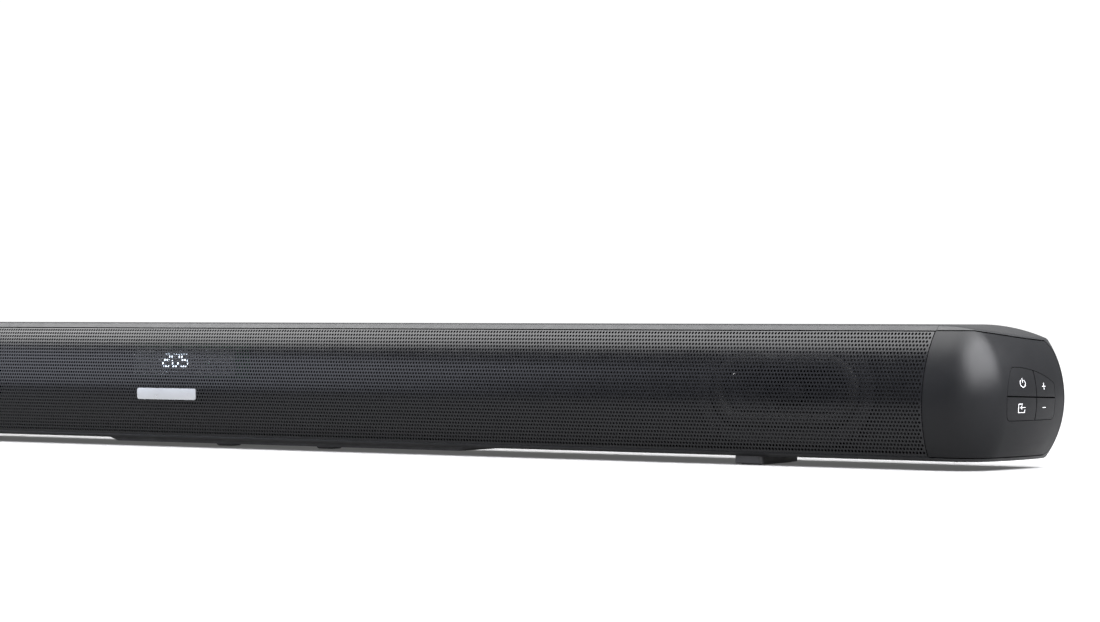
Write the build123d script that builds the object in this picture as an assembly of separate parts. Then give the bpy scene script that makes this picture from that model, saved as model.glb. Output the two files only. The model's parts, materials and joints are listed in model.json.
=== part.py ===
from build123d import *
import os
from math import cos, radians, sin, sqrt

# A slim soundbar, in millimetres. X runs along the bar, Y runs from the front to the back, Z is up.
# Every depth below is measured back from the front-most line of the grille. save() then moves the
# model so that its origin is at the bottom centre of the whole object.

# Overall sizes
LENGTH = 950.0
BODY_DEPTH = 64.0
BODY_BOTTOM = 4.1
BODY_TOP = 64.7
WALL = 2.4
GAP = 0.3

# The bowed front: one arc in every upright section, carried round both ends
BOW_RADIUS = 45.0
BOW_HEIGHT = 28.65
BOW_RISE = 0.055
CORNER_RADIUS = 24.6
CORNER_TURN = 72.0
SIDE_RADIUS = 155.0
CROWN_RADIUS = 85.0
END_ROUND = 3.0
SHEET_LOW = -2.0
SHEET_HIGH = 66.0

# The centre section, the grille and the joints between front and back
CENTRE_HALF = 434.3
GRILLE_HALF = 433.8
GRILLE_WALL = 0.9
SEAM_TOP = 61.85
SEAM_BOTTOM = 6.1
SEAM_BACK = 60.5
SEAM_DROP = 1.1
SEAM_GAP = 0.5
CAP_WALL = 2.2
LIP_DEPTH = 4.0

# Badge
BADGE_WIDTH = 39.5
BADGE_HEIGHT = 5.8
BADGE_MID = 27.8
BADGE_PROUD = 0.6
CENTRE_DEPTH = (BODY_DEPTH - BADGE_PROUD) / 2

# Baffle, the upright board that carries the drive units
BAFFLE_FRONT = 15.2
BAFFLE_THICK = 3.0
BAFFLE_HALF = 433.0
BAFFLE_LOW = 8.3
BAFFLE_HIGH = 60.2
BAFFLE_FLANGE = 7.0

# Drive units: racetrack shape, 92 by 48
DRIVER_X = 358.0
DRIVER_Z = 34.0
DRIVER_WIDTH = 92.0
DRIVER_HEIGHT = 48.0
BASKET_WIDTH = 83.0
BASKET_HEIGHT = 39.0
ROLL_WIDTH = 71.0
ROLL_HEIGHT = 27.0
ROLL_RADIUS = 3.8
CONE_WIDTH = 66.0
CONE_HEIGHT = 22.0
CONE_BACK = 24.0
COIL_RADIUS = 6.5
MAGNET_RADIUS = 17.5
MAGNET_FRONT = 36.0
MAGNET_BACK = 48.0

# Button field in the right end, as seen from the side
FIELD_FRONT = 17.6
FIELD_BACK = 52.4
FIELD_LOW = 22.1
FIELD_HIGH = 46.1
FIELD_SPLIT_Y = 37.0
FIELD_SPLIT_Z = 32.5
FIELD_TILT = -2.0
BUTTON_GAP = 0.3
BUTTON_TRAVEL = 0.6
FLANGE_REACH = 1.0
BOARD_X = 457.0
SWITCH_TIP = 462.2
SWITCHES = {
    "power_button": (27.5, 38.6),
    "source_button": (27.0, 27.4),
    "volume_up_button": (44.0, 36.8),
    "volume_down_button": (44.0, 27.2),
}

# Feet and the cover under the middle
FOOT_X = 341.0
FOOT_WIDTH = 15.0
FOOT_FRONT = 9.2
FOOT_BACK = 44.0
PAD_THICK = 1.0
COVER_LEFT = -51.0
COVER_RIGHT = 182.0
COVER_FRONT = 13.3
COVER_BACK = 50.0
COVER_BOTTOM = 2.05
BUMP_BOTTOM = 1.0
BUMP_X = (26.6, 92.0)

# Electronics
BULKHEAD_X = 270.0
MAIN_LEFT = -70.0
MAIN_RIGHT = 150.0
MAIN_FRONT = 42.0
BOARD_THICK = 1.6
MAIN_REAR = MAIN_FRONT + BOARD_THICK
TRAY_LEFT = -22.0
TRAY_RIGHT = 132.0
TRAY_LOW = 16.0
TRAY_HIGH = 50.0
TRAY_FLOOR = 55.0
TRAY_WALL = 1.6
SOCKET_Z = 33.0
HDMI_X = 0.0
OPTICAL_X = 36.0
USB_X = 68.0
AUX_X = 100.0
INLET_X = -130.0
INLET_Z = 33.0
POWER_LEFT = -250.0
POWER_RIGHT = -96.0
POWER_Z = 13.0

# Wall hanging
KEYHOLE_X = 300.0
KEYHOLE_Z = 42.0
KEYHOLE_HEAD = 4.5
KEYHOLE_SHANK = 2.2
KEYHOLE_DROP = 9.0

# Wires inside, and the screws through the underside
WIRE_Y = 50.0
WIRE_Z = 54.0
WIRE_RADIUS = 1.1
CABLE_Y = 57.0
CABLE_Z = 14.0
CABINET_SCREW_X = (-405.0, -245.0, -110.0, 205.0, 260.0, 405.0)
CABINET_SCREW_Y = 22.0


# ---------------------------------------------------------------- plain shapes

def block(x0, x1, y0, y1, z0, z1):
    """A box between two corners."""
    centre = Location(((x0 + x1) / 2, (y0 + y1) / 2, (z0 + z1) / 2))
    return centre * Box(x1 - x0, y1 - y0, z1 - z0)


def rod(radius, start, end):
    """A round bar from one point to another along X, Y or Z."""
    direction = Vector(*end) - Vector(*start)
    plane = Plane(origin=start, z_dir=direction.normalized())
    return extrude(plane * Circle(radius), direction.length)


def upright_slice(width, height, depth, x=0.0, z=0.0):
    """A racetrack face that stands upright at the given depth and faces forward."""
    plane = Plane(origin=(x, depth, z), x_dir=(1, 0, 0), z_dir=(0, -1, 0))
    return plane * SlotOverall(width, height)


def racetrack(width, height, y0, y1, x=0.0, z=0.0):
    """A racetrack bar between two depths."""
    return extrude(upright_slice(width, height, y1, x, z), y1 - y0)


def cross_recess(centre, axis, radius, depth):
    """The cutter for the cross in a screw head, with its open end at centre."""
    reach = radius * 0.62
    slot = radius * 0.2
    blades = Box(2 * reach, 2 * slot, 2 * depth) + Box(2 * slot, 2 * reach, 2 * depth)
    plane = Plane(origin=centre, z_dir=axis)
    return plane.location * blades


def screw(head, axis, length, head_radius=2.8, head_height=1.6, shank_radius=1.4):
    """A pan-head screw whose head face is at head and whose shank points along axis."""
    head = Vector(*head)
    axis = Vector(*axis)
    neck = head + axis * head_height
    body = rod(head_radius, tuple(head), tuple(neck))
    body = fillet(body.edges().filter_by(GeomType.CIRCLE).sort_by_distance(head)[0], 0.5)
    body += shank(neck, axis, length - head_height, shank_radius)
    return body - cross_recess(head, axis, head_radius, head_height * 0.6)


def flat_screw(head, axis, length, head_radius=2.3, head_height=1.2, shank_radius=1.05):
    """A countersunk screw whose flat head face is at head."""
    head = Vector(*head)
    axis = Vector(*axis)
    neck = head + axis * head_height
    body = loft([Plane(origin=head, z_dir=axis) * Circle(head_radius),
                 Plane(origin=neck, z_dir=axis) * Circle(shank_radius)])
    body += shank(neck, axis, length - head_height, shank_radius)
    return body - cross_recess(head, axis, head_radius * 0.8, head_height * 0.5)


def shank(neck, axis, length, radius):
    """The straight part of a screw and its tapered point."""
    tip = neck + axis * length
    point = tip + axis * radius
    taper = loft([Plane(origin=tip, z_dir=axis) * Circle(radius),
                  Plane(origin=point, z_dir=axis) * Circle(radius * 0.25)])
    return rod(radius, tuple(neck), tuple(tip)) + taper


def mirrored(part):
    """The same part at the other end of the bar."""
    return mirror(part, about=Plane.YZ)


# ---------------------------------------------------------------- the bowed body

def bow_offset(z, inset=0.0):
    """How far the arc stands back from the front line at height z."""
    radius = BOW_RADIUS - inset
    return BOW_RADIUS - sqrt(radius ** 2 - (z - BOW_HEIGHT) ** 2)


def bow_face(plane, edge, inner, inset):
    """The area between a straight inner line and the arc, on an upright plane."""
    bottom = SHEET_LOW + inset
    top = SHEET_HIGH - inset
    low = edge - bow_offset(bottom, inset)
    high = edge - bow_offset(top, inset)
    outline = [
        Line((inner, bottom), (low, bottom)),
        ThreePointArc((low, bottom), (edge - inset, BOW_HEIGHT), (high, top)),
        Line((high, top), (inner, top)),
        Line((inner, top), (inner, bottom)),
    ]
    return plane * make_face(outline)


def straight_bow(x0, x1, inset=0.0):
    """The bowed section carried along the straight part of the bar."""
    plane = Plane(origin=(x0, 0, 0), x_dir=(0, -1, 0), z_dir=(-1, 0, 0))
    return extrude(bow_face(plane, 0.0, -80.0, inset), -(x1 - x0))


def turned_bow(centre, radius, first, last, inner, inset):
    """The bowed section turned about an upright axis, between two angles from the front."""
    start = radians(first - 90)
    plane = Plane(
        origin=(centre[0], centre[1], 0),
        x_dir=(cos(start), sin(start), 0),
        z_dir=(sin(start), -cos(start), 0),
    )
    axis = Axis((centre[0], centre[1], 0), (0, 0, 1))
    return revolve(bow_face(plane, radius, inner, inset), axis=axis, revolution_arc=last - first)


def lean(part):
    """Slide every upright section up a little towards the back, which lifts the widest line."""
    matrix = Matrix([[1, 0, 0, 0], [0, 1, 0, 0], [0, BOW_RISE, 1, 0], [0, 0, 0, 1]])
    return part.solids()[0].transform_geometry(matrix)


def crown_height(x):
    """Height of the top surface, which drops along an arc past the centre section."""
    run = x - CENTRE_HALF
    return BODY_TOP - (CROWN_RADIUS - sqrt(CROWN_RADIUS ** 2 - run ** 2))


def crowned_face(start, far, low, drop):
    """An upright area seen from the front, flat below and following the lowered crown above."""
    middle = (start + far) / 2
    crown = [(x, crown_height(x) - drop) for x in (far, middle, start)]
    return make_face([
        Line((start, low), (far, low)),
        Line((far, low), crown[0]),
        ThreePointArc(*crown),
        Line(crown[2], (start, low)),
    ])


def end_envelope(inset=0.0, start=CENTRE_HALF):
    """The whole right end as one solid, or its inside when an inset is given."""
    half = LENGTH / 2
    side_x = half - SIDE_RADIUS
    side_y = CORNER_RADIUS + (SIDE_RADIUS - CORNER_RADIUS) * cos(radians(CORNER_TURN))
    corner_x = side_x + (SIDE_RADIUS - CORNER_RADIUS) * sin(radians(CORNER_TURN))
    corner = turned_bow((corner_x, CORNER_RADIUS), CORNER_RADIUS, 0, CORNER_TURN, 0, inset)
    side = turned_bow((side_x, side_y), SIDE_RADIUS, CORNER_TURN, 90.4, 60, inset)
    body = lean(straight_bow(start, corner_x, inset) + corner + side)
    outline = crowned_face(start, half + 5, BODY_BOTTOM + inset, inset)
    trim = extrude(Plane.XZ * outline, -(BODY_DEPTH - inset))
    return body & trim


def rounded_end(inset=0.0, start=CENTRE_HALF):
    """The right end, or its inside, with its top, bottom and back edges rounded."""
    body = end_envelope(inset, start)
    free = body.edges().filter_by(lambda edge: edge.center().X > start + 1)

    def outer(edge):
        box = edge.bounding_box()
        return (edge.center().Z > BODY_TOP - 12 or box.max.Z < BODY_BOTTOM + inset + 0.05
                or box.min.Y > BODY_DEPTH - inset - 0.05)

    return fillet(free.filter_by(outer), END_ROUND - inset)


def seam_outline(grow=0.0):
    """The room that the front part may fill: its outline from the side, kept just under the crown."""
    outline = [
        Line((-20, SEAM_BOTTOM), (SEAM_BACK - 5, SEAM_BOTTOM)),
        RadiusArc((SEAM_BACK - 5, SEAM_BOTTOM), (SEAM_BACK, SEAM_BOTTOM + 5), -5),
        Line((SEAM_BACK, SEAM_BOTTOM + 5), (SEAM_BACK, 50)),
        ThreePointArc((SEAM_BACK, 50), (58.2, 56.4), (51, 60.2)),
        Line((51, 60.2), (34, SEAM_TOP)),
        Line((34, SEAM_TOP), (-20, SEAM_TOP)),
        Line((-20, SEAM_TOP), (-20, SEAM_BOTTOM)),
    ]
    face = make_face(outline)
    if grow:
        face = offset(face, grow, kind=Kind.INTERSECTION)
    start, far = CENTRE_HALF - 2, LENGTH / 2 + 5
    under_crown = extrude(Plane.XZ * crowned_face(start, far, -5, SEAM_DROP - grow), -80)
    return side_prism(face, start, far) & under_crown.moved(Location((0, -10, 0)))


def side_prism(face, x0, x1):
    """Carry a face drawn in depth and height along X."""
    plane = Plane(origin=(x0, 0, 0), x_dir=(0, 1, 0), z_dir=(1, 0, 0))
    return extrude(plane * face, x1 - x0)


# ---------------------------------------------------------------- casing

def front_grille():
    """The bowed sheet over the centre, with a lip folded back at its top and bottom."""
    half = GRILLE_HALF
    sheet = lean(straight_bow(-half, half)) - lean(straight_bow(-half - 1, half + 1, GRILLE_WALL))
    sheet &= block(-half, half, -5, 40, SEAM_BOTTOM + 0.2, SEAM_TOP - 0.2)
    top = SEAM_TOP - 0.2
    low = SEAM_BOTTOM + 0.2
    sheet += block(-half, half, 13.2, 13.2 + LIP_DEPTH, top - GRILLE_WALL, top)
    sheet += block(-half, half, 6.6, 6.6 + LIP_DEPTH, low, low + GRILLE_WALL)
    return sheet


def grille_badge():
    """A small blank plate that follows the bow of the grille."""
    half = BADGE_WIDTH / 2
    plate = lean(straight_bow(-half, half, -BADGE_PROUD)) - lean(straight_bow(-half - 1, half + 1))
    plate &= block(-half, half, -5, 10, BADGE_MID - BADGE_HEIGHT / 2, BADGE_MID + BADGE_HEIGHT / 2)
    corners = plate.edges().filter_by(lambda edge: abs(abs(edge.center().X) - half) < 0.01)
    corners = corners.filter_by(Axis.Y, tolerance=12)
    return fillet(corners, 1.2)


def front_baffle():
    """The board behind the grille, with flanges, stiffening ribs and driver openings."""
    rear = BAFFLE_FRONT + BAFFLE_THICK
    body = block(-BAFFLE_HALF, BAFFLE_HALF, BAFFLE_FRONT, rear, BAFFLE_LOW, BAFFLE_HIGH)
    for low in (BAFFLE_LOW, BAFFLE_HIGH - 2):
        body += block(-BAFFLE_HALF, BAFFLE_HALF, rear, rear + BAFFLE_FLANGE, low, low + 2)
    for x in range(-220, 221, 55):
        body += block(x - 1, x + 1, rear, rear + 4, BAFFLE_LOW, BAFFLE_HIGH)
    for x in (-DRIVER_X, DRIVER_X):
        body -= racetrack(BASKET_WIDTH + 1, BASKET_HEIGHT + 1, 0, 40, x, DRIVER_Z)
        for dx, dz in driver_holes():
            body -= rod(1.3, (x + dx, 10, DRIVER_Z + dz), (x + dx, 30, DRIVER_Z + dz))
    body -= block(-8, 12, 10, 40, 22, 30)
    for x in CABINET_SCREW_X:
        body -= rod(1.55, (x, CABINET_SCREW_Y, 0), (x, CABINET_SCREW_Y, 20))
    return body


def cabinet_section(inset):
    """The centre section behind the front seam, as a face in depth and height."""
    top = BODY_TOP - inset
    low = BODY_BOTTOM + inset
    back = BODY_DEPTH - inset
    corner = END_ROUND - inset
    shift = inset * 0.6
    seam_low = 6.9 + inset * 0.8
    outline = [
        Line((seam_low, SEAM_BOTTOM - 0.5 + inset), (seam_low + 2.6, low)),
        Line((seam_low + 2.6, low), (back - corner, low)),
        RadiusArc((back - corner, low), (back, low + corner), -corner),
        Line((back, low + corner), (back, top - corner)),
        RadiusArc((back, top - corner), (back - corner, top), -corner),
        Line((back - corner, top), (18.1 + shift, top)),
        ThreePointArc((18.1 + shift, top), (16.99 + shift, top - 0.22), (16.05 + shift, top - 0.87)),
        Line((16.05 + shift, top - 0.87), (14.1 + shift, top - 2.6)),
        Line((14.1 + shift, top - 2.6), (seam_low, SEAM_BOTTOM - 0.5 + inset)),
    ]
    return make_face(outline)


def rear_cabinet():
    """The long rear shell: top, back and underside of the centre section."""
    outer = side_prism(cabinet_section(0), -CENTRE_HALF, CENTRE_HALF)
    inner = side_prism(cabinet_section(WALL), -CENTRE_HALF - 1, CENTRE_HALF + 1)
    front = block(-500, 500, -5, 24, SEAM_BOTTOM + 0.1, SEAM_TOP + 0.3)
    body = outer - inner - front
    back = BODY_DEPTH
    body -= block(TRAY_LEFT - 0.2, TRAY_RIGHT + 0.2, 50, back + 1, TRAY_LOW - 0.2, TRAY_HIGH + 0.2)
    body -= block(INLET_X - 14.2, INLET_X + 14.2, 50, back + 1, INLET_Z - 8.2, INLET_Z + 8.2)
    for x in (-KEYHOLE_X, KEYHOLE_X):
        body -= block(x - 18.2, x + 18.2, back - 1.6, back + 1, KEYHOLE_Z - 14.2, KEYHOLE_Z + 14.2)
        body -= block(x - 7, x + 7, 50, back, KEYHOLE_Z - 9, KEYHOLE_Z + 11)
        for dx in (-13, 13):
            body -= rod(1.15, (x + dx, 50, KEYHOLE_Z), (x + dx, back, KEYHOLE_Z))
    body -= block(COVER_LEFT + 12, COVER_RIGHT - 12, COVER_FRONT + 8, COVER_BACK - 8, 0, 10)
    for x, y in cover_screw_places():
        body -= rod(1.2, (x, y, 0), (x, y, 10))
    for x in CABINET_SCREW_X:
        body -= rod(3.0, (x, CABINET_SCREW_Y, 0), (x, CABINET_SCREW_Y, BODY_BOTTOM + 1.7))
        body -= rod(1.55, (x, CABINET_SCREW_Y, 0), (x, CABINET_SCREW_Y, 20))
    for x in range(-200, 201, 100):
        body += block(x - 1, x + 1, 57, back - WALL + 0.5, 52, BODY_TOP - WALL + 0.5)
    return body


def end_shell():
    """The wall of the right end, open towards the centre section."""
    return rounded_end() - rounded_end(CAP_WALL, CENTRE_HALF - 1)


def end_housing(shell):
    """The back part of the right end, which the front cap closes."""
    housing = shell - seam_outline(SEAM_GAP)
    housing = housing.solids().sort_by(SortBy.VOLUME)[-1]
    return housing & block(CENTRE_HALF + 0.25, 480, -5, 70, 0, 70)


def field_face(grow=0.0):
    """The outline of the button field, in depth and height."""
    top_front = (23.6, FIELD_HIGH)
    bottom_front = (FIELD_FRONT, FIELD_LOW)
    top_back = (FIELD_BACK, 38.6)
    outline = [
        Line(bottom_front, (FIELD_BACK, FIELD_LOW)),
        Line((FIELD_BACK, FIELD_LOW), top_back),
        ThreePointArc(top_back, (39.5, 44.0), top_front),
        ThreePointArc(top_front, (17.0, 33.0), bottom_front),
    ]
    face = make_face(outline)
    face = fillet(face.vertices(), 2.6)
    if grow:
        face = offset(face, grow)
    return face


def field_quarters(grow):
    """The four parts of the field, cut by a cross-shaped groove."""
    groove = 2 * BUTTON_GAP
    place = Location((FIELD_SPLIT_Y, FIELD_SPLIT_Z)) * Rotation(0, 0, FIELD_TILT)
    cross = place * (Rectangle(80, groove) + Rectangle(groove, 80))
    pieces = (field_face(grow) - cross).faces()
    quarters = {}
    for name, (depth, height) in SWITCHES.items():
        target = Vector(depth, height, 0)
        quarters[name] = min(pieces, key=lambda face: (face.center() - target).length)
    return quarters


def end_cap(shell):
    """The smooth front part of an end, with a web that stiffens its open edge."""
    cap = shell & seam_outline()
    cap = cap.solids().sort_by(SortBy.VOLUME)[-1]
    web = end_envelope(CAP_WALL - 0.2, CENTRE_HALF)
    web &= block(CENTRE_HALF, CENTRE_HALF + 2, -5, 24, SEAM_BOTTOM + 2.5, SEAM_TOP - 2.5)
    web -= block(CENTRE_HALF - 1, CENTRE_HALF + 4, 15, 40, 12, 54)
    return cap + web


def button_cap(shell_block, name, face, flange_face):
    """One button: a skin flush with the cap, a retaining flange and a stem."""
    skin = shell_block & side_prism(face, 440, 480)
    flange = end_envelope(CAP_WALL + GAP) - end_envelope(CAP_WALL + 1.5)
    flange &= side_prism(flange_face, 440, 480)
    depth, height = SWITCHES[name]
    tip = SWITCH_TIP + BUTTON_TRAVEL + GAP
    stem = rod(1.8, (tip, depth, height), (tip + 5.0, depth, height))
    body = skin.solids().sort_by(SortBy.VOLUME)[-1] + flange.solids().sort_by(SortBy.VOLUME)[-1] + stem
    return body.solids().sort_by(SortBy.VOLUME)[-1]


def buttons():
    """All four buttons, keyed by node name."""
    shell_block = rounded_end() - end_envelope(CAP_WALL + 1.5)
    skins = field_quarters(-BUTTON_GAP)
    flanges = field_quarters(FLANGE_REACH)
    return {name: button_cap(shell_block, name, skins[name], flanges[name]) for name in SWITCHES}


# ---------------------------------------------------------------- button electronics

def button_carrier():
    """A tray behind the button board, on two arms that reach the web of the cap."""
    plate = block(BOARD_X - 3.6, BOARD_X - 0.4, 18.5, 53.5, 18, 49)
    plate -= block(BOARD_X - 1.6, BOARD_X, 20.2, 51.8, 19.8, 47.2)
    plate -= block(BOARD_X - 5, BOARD_X, 26, 46, 26, 41)
    for low in (19.0, 43.0):
        plate += block(CENTRE_HALF + 2, BOARD_X - 3.6, 19, 23, low, low + 4)
    return plate


def button_board():
    """The small board under the buttons."""
    board = block(BOARD_X - 1.5, BOARD_X + 0.1, 20.5, 51.5, 20, 47)
    for y, z in ((22.5, 45), (49.5, 22)):
        board -= rod(1.2, (BOARD_X - 3, y, z), (BOARD_X + 3, y, z))
    return board


def button_switches():
    """Four push switches on the board."""
    group = []
    base = BOARD_X + 0.1
    for depth, height in SWITCHES.values():
        body = block(base, base + 3.4, depth - 3, depth + 3, height - 3, height + 3)
        body = chamfer(body.edges().filter_by(Axis.X), 0.5)
        body += rod(1.7, (base + 3.4, depth, height), (SWITCH_TIP, depth, height))
        group.append(body)
    return group


# ---------------------------------------------------------------- display

def display_window():
    """The smoked lens in front of the display and the remote receiver."""
    lens = block(-29, 39, 7.2, 8.2, 37.6, 51.1)
    return fillet(lens.edges().filter_by(Axis.Y), 2.0)


def display_module():
    """The three-character display block with its raised face."""
    body = block(-15, 13, 8.4, 13.6, 38.6, 50.1)
    body -= block(-12.5, 10.5, 8, 8.9, 40.2, 48.4)
    return body


def display_board():
    """The board that carries the display, on the front of the baffle."""
    board = block(-33, 43, 13.6, BAFFLE_FRONT, 35.6, 53.6)
    for x, z in ((-30, 50.6), (40, 50.6), (-30, 38.6), (40, 38.6)):
        board -= rod(1.2, (x, 10, z), (x, 20, z))
    return board


def infrared_receiver():
    """The remote receiver: a small block with a domed lens."""
    body = block(25, 31, 9.8, 13.6, 39.6, 46.6)
    dome = Location((28, 9.8, 43.4)) * Sphere(2.3)
    return body + (dome & block(23, 33, 8.4, 10.4, 37, 50))


# ---------------------------------------------------------------- drive units

def driver_holes():
    """Places of the four screws in a driver flange."""
    return [(dx, dz) for dx in (-36.5, 36.5) for dz in (-18.6, 18.6)]


def driver_frame():
    """Flange, skirt and four-legged basket of a drive unit."""
    flange = racetrack(DRIVER_WIDTH, DRIVER_HEIGHT, 12.4, 14.4)
    skirt = racetrack(BASKET_WIDTH, BASKET_HEIGHT, 14.4, 20)
    outer = loft([upright_slice(BASKET_WIDTH, BASKET_HEIGHT, 20), upright_slice(38.2, 38, 34)])
    plate = rod(19, (0, 34, 0), (0, MAGNET_FRONT, 0))
    body = flange + skirt + outer + plate
    body -= racetrack(BASKET_WIDTH - 4, BASKET_HEIGHT - 4, 10, 20)
    body -= loft([upright_slice(BASKET_WIDTH - 4, BASKET_HEIGHT - 4, 20), upright_slice(34.2, 34, 34)])
    body -= rod(COIL_RADIUS + 1.5, (0, 30, 0), (0, 40, 0))
    for side in (-1, 1):
        body -= block(side * 34 - 9, side * 34 + 9, 21.5, 32, -10, 10)
        body -= block(-12, 12, 22.5, 32.5, side * 17 - 6, side * 17 + 6)
    for dx, dz in driver_holes():
        body -= rod(1.6, (dx, 10, dz), (dx, 16, dz))
    return body


def driver_gasket():
    """The foam ring between the flange and the baffle."""
    ring = racetrack(DRIVER_WIDTH, DRIVER_HEIGHT, 14.4, BAFFLE_FRONT)
    ring -= racetrack(BASKET_WIDTH + 1, BASKET_HEIGHT + 1, 14, 16)
    for dx, dz in driver_holes():
        ring -= rod(1.6, (dx, 10, dz), (dx, 18, dz))
    return ring


def driver_surround():
    """The half-round rubber roll, with flat lands inside and outside."""
    lands = racetrack(BASKET_WIDTH - 4.4, BASKET_HEIGHT - 4.4, 13.6, 14.2)
    lands -= racetrack(CONE_WIDTH - 3, CONE_HEIGHT - 3, 13, 15)
    roll_gap = racetrack(ROLL_WIDTH + 2 * ROLL_RADIUS - 0.4, ROLL_HEIGHT + 2 * ROLL_RADIUS - 0.4, 13, 15)
    roll_gap -= racetrack(ROLL_WIDTH - 2 * ROLL_RADIUS + 0.4, ROLL_HEIGHT - 2 * ROLL_RADIUS + 0.4, 13, 15)
    half_run = (ROLL_WIDTH - ROLL_HEIGHT) / 2
    bend = ROLL_HEIGHT / 2
    outer, inner = ROLL_RADIUS, ROLL_RADIUS - 0.6
    arch = make_face([
        ThreePointArc((-outer, 0), (0, outer), (outer, 0)), Line((outer, 0), (inner, 0)),
        ThreePointArc((inner, 0), (0, inner), (-inner, 0)), Line((-inner, 0), (-outer, 0)),
    ])
    roll = None
    for side in (-1, 1):
        plane = Plane(origin=(-half_run, 14.2, side * bend), x_dir=(0, 0, 1), z_dir=(1, 0, 0))
        run = extrude(plane * arch, 2 * half_run)
        roll = run if roll is None else roll + run
        end = Plane(origin=(side * half_run, 14.2, -bend), x_dir=(0, 0, 1), z_dir=(1, 0, 0))
        axis = Axis((side * half_run, 0, 0), (0, -side, 0))
        roll += revolve(end * arch, axis=axis, revolution_arc=180)
    return (lands - roll_gap) + roll


def driver_cone():
    """The paper cone, from the roll down to the coil."""
    outer = loft([upright_slice(CONE_WIDTH - 3.6, CONE_HEIGHT - 3.6, 13.6),
                  upright_slice(2 * COIL_RADIUS + 0.2, 2 * COIL_RADIUS, CONE_BACK)])
    inner = loft([upright_slice(CONE_WIDTH - 5.2, CONE_HEIGHT - 5.2, 13.6),
                  upright_slice(2 * COIL_RADIUS - 1.4, 2 * COIL_RADIUS - 1.6, CONE_BACK)])
    return outer - inner


def driver_dust_cap():
    """The domed cap over the coil."""
    dome = Location((0, 24.9, 0)) * Sphere(9.0)
    hollow = Location((0, 24.9, 0)) * Sphere(8.4)
    return (dome - hollow) & block(-12, 12, 10, 19.0, -12, 12)


def driver_magnet():
    """Ring magnet, back plate and pole piece."""
    body = rod(MAGNET_RADIUS, (0, MAGNET_FRONT, 0), (0, MAGNET_BACK - 3, 0))
    body += rod(MAGNET_RADIUS + 1, (0, MAGNET_BACK - 3, 0), (0, MAGNET_BACK, 0))
    body = fillet(body.edges().filter_by(GeomType.CIRCLE).sort_by(Axis.Y)[-1], 1.0)
    body -= rod(COIL_RADIUS + 0.8, (0, 30, 0), (0, MAGNET_BACK - 4, 0))
    body += rod(COIL_RADIUS - 1.6, (0, 30, 0), (0, MAGNET_BACK - 3, 0))
    return body


def driver_place(part, side):
    """Put a drive unit piece at the left or right driver opening."""
    return part.moved(Location((side * DRIVER_X, 0, DRIVER_Z)))


# ---------------------------------------------------------------- electronics

def main_board():
    """The upright board behind the middle, with cut corners and fixing holes."""
    board = block(MAIN_LEFT, MAIN_RIGHT, MAIN_FRONT, MAIN_REAR, 11, 57)
    board = chamfer(board.edges().filter_by(Axis.Y), 3)
    for x, z in main_board_holes():
        board -= rod(1.6, (x, 30, z), (x, 60, z))
    return board


def main_board_holes():
    """Places of the screws that hold the main board."""
    return [(x, z) for x in (MAIN_LEFT + 6, MAIN_RIGHT - 6) for z in (17, 51)]


def socket_panel():
    """The recessed tray in the back that the sockets look out of."""
    back = BODY_DEPTH - 0.1
    body = block(TRAY_LEFT, TRAY_RIGHT, TRAY_FLOOR, back, TRAY_LOW, TRAY_HIGH)
    inner = block(TRAY_LEFT + TRAY_WALL, TRAY_RIGHT - TRAY_WALL, TRAY_FLOOR + TRAY_WALL, back + 1,
                  TRAY_LOW + TRAY_WALL, TRAY_HIGH - TRAY_WALL)
    body -= fillet(inner.edges().filter_by(Axis.Y), 1.5)
    z = SOCKET_Z
    body -= block(HDMI_X - 7.7, HDMI_X + 7.7, 50, 60, z - 3.3, z + 3.3)
    body -= block(OPTICAL_X - 5.2, OPTICAL_X + 5.2, 50, 60, z - 5.2, z + 5.2)
    body -= block(USB_X - 7.2, USB_X + 7.2, 50, 60, z - 3.7, z + 3.7)
    body -= rod(3.4, (AUX_X, 50, z), (AUX_X, 60, z))
    return body


def hdmi_socket():
    """Video socket: a steel shell round a contact tongue."""
    z = SOCKET_Z
    body = block(HDMI_X - 7.5, HDMI_X + 7.5, MAIN_REAR, 56.0, z - 3.1, z + 3.1)
    hollow = block(HDMI_X - 7.0, HDMI_X + 7.0, 47.5, 57, z - 2.3, z + 2.6)
    body -= chamfer(hollow.edges().filter_by(Axis.Y).sort_by(Axis.Z)[0:2], 1.2)
    return body + block(HDMI_X - 5.6, HDMI_X + 5.6, 47, 54.5, z + 0.2, z + 1.3)


def optical_socket():
    """Optical audio socket with a square mouth and a round lens at the back of it."""
    z = SOCKET_Z
    body = block(OPTICAL_X - 5, OPTICAL_X + 5, MAIN_REAR, 56.0, z - 5, z + 5)
    body -= block(OPTICAL_X - 3.7, OPTICAL_X + 3.7, 48, 57, z - 3.7, z + 3.7)
    return body + rod(1.2, (OPTICAL_X, 47, z), (OPTICAL_X, 48.8, z))


def usb_socket():
    """Service socket: a steel shell round a wide tongue."""
    z = SOCKET_Z
    body = block(USB_X - 7, USB_X + 7, MAIN_REAR, 56.0, z - 3.5, z + 3.5)
    body -= block(USB_X - 6.3, USB_X + 6.3, 46, 57, z - 2.6, z + 2.6)
    return body + block(USB_X - 5.6, USB_X + 5.6, 45.5, 54.5, z - 0.1, z + 1.7)


def aux_socket():
    """Audio jack socket for a 3.5 mm plug."""
    z = SOCKET_Z
    body = block(AUX_X - 4, AUX_X + 4, MAIN_REAR, TRAY_FLOOR - 0.2, z - 4, z + 4)
    body += rod(3.2, (AUX_X, TRAY_FLOOR - 0.2, z), (AUX_X, 56.4, z))
    return body - rod(1.8, (AUX_X, 44.4, z), (AUX_X, 57, z))


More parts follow.
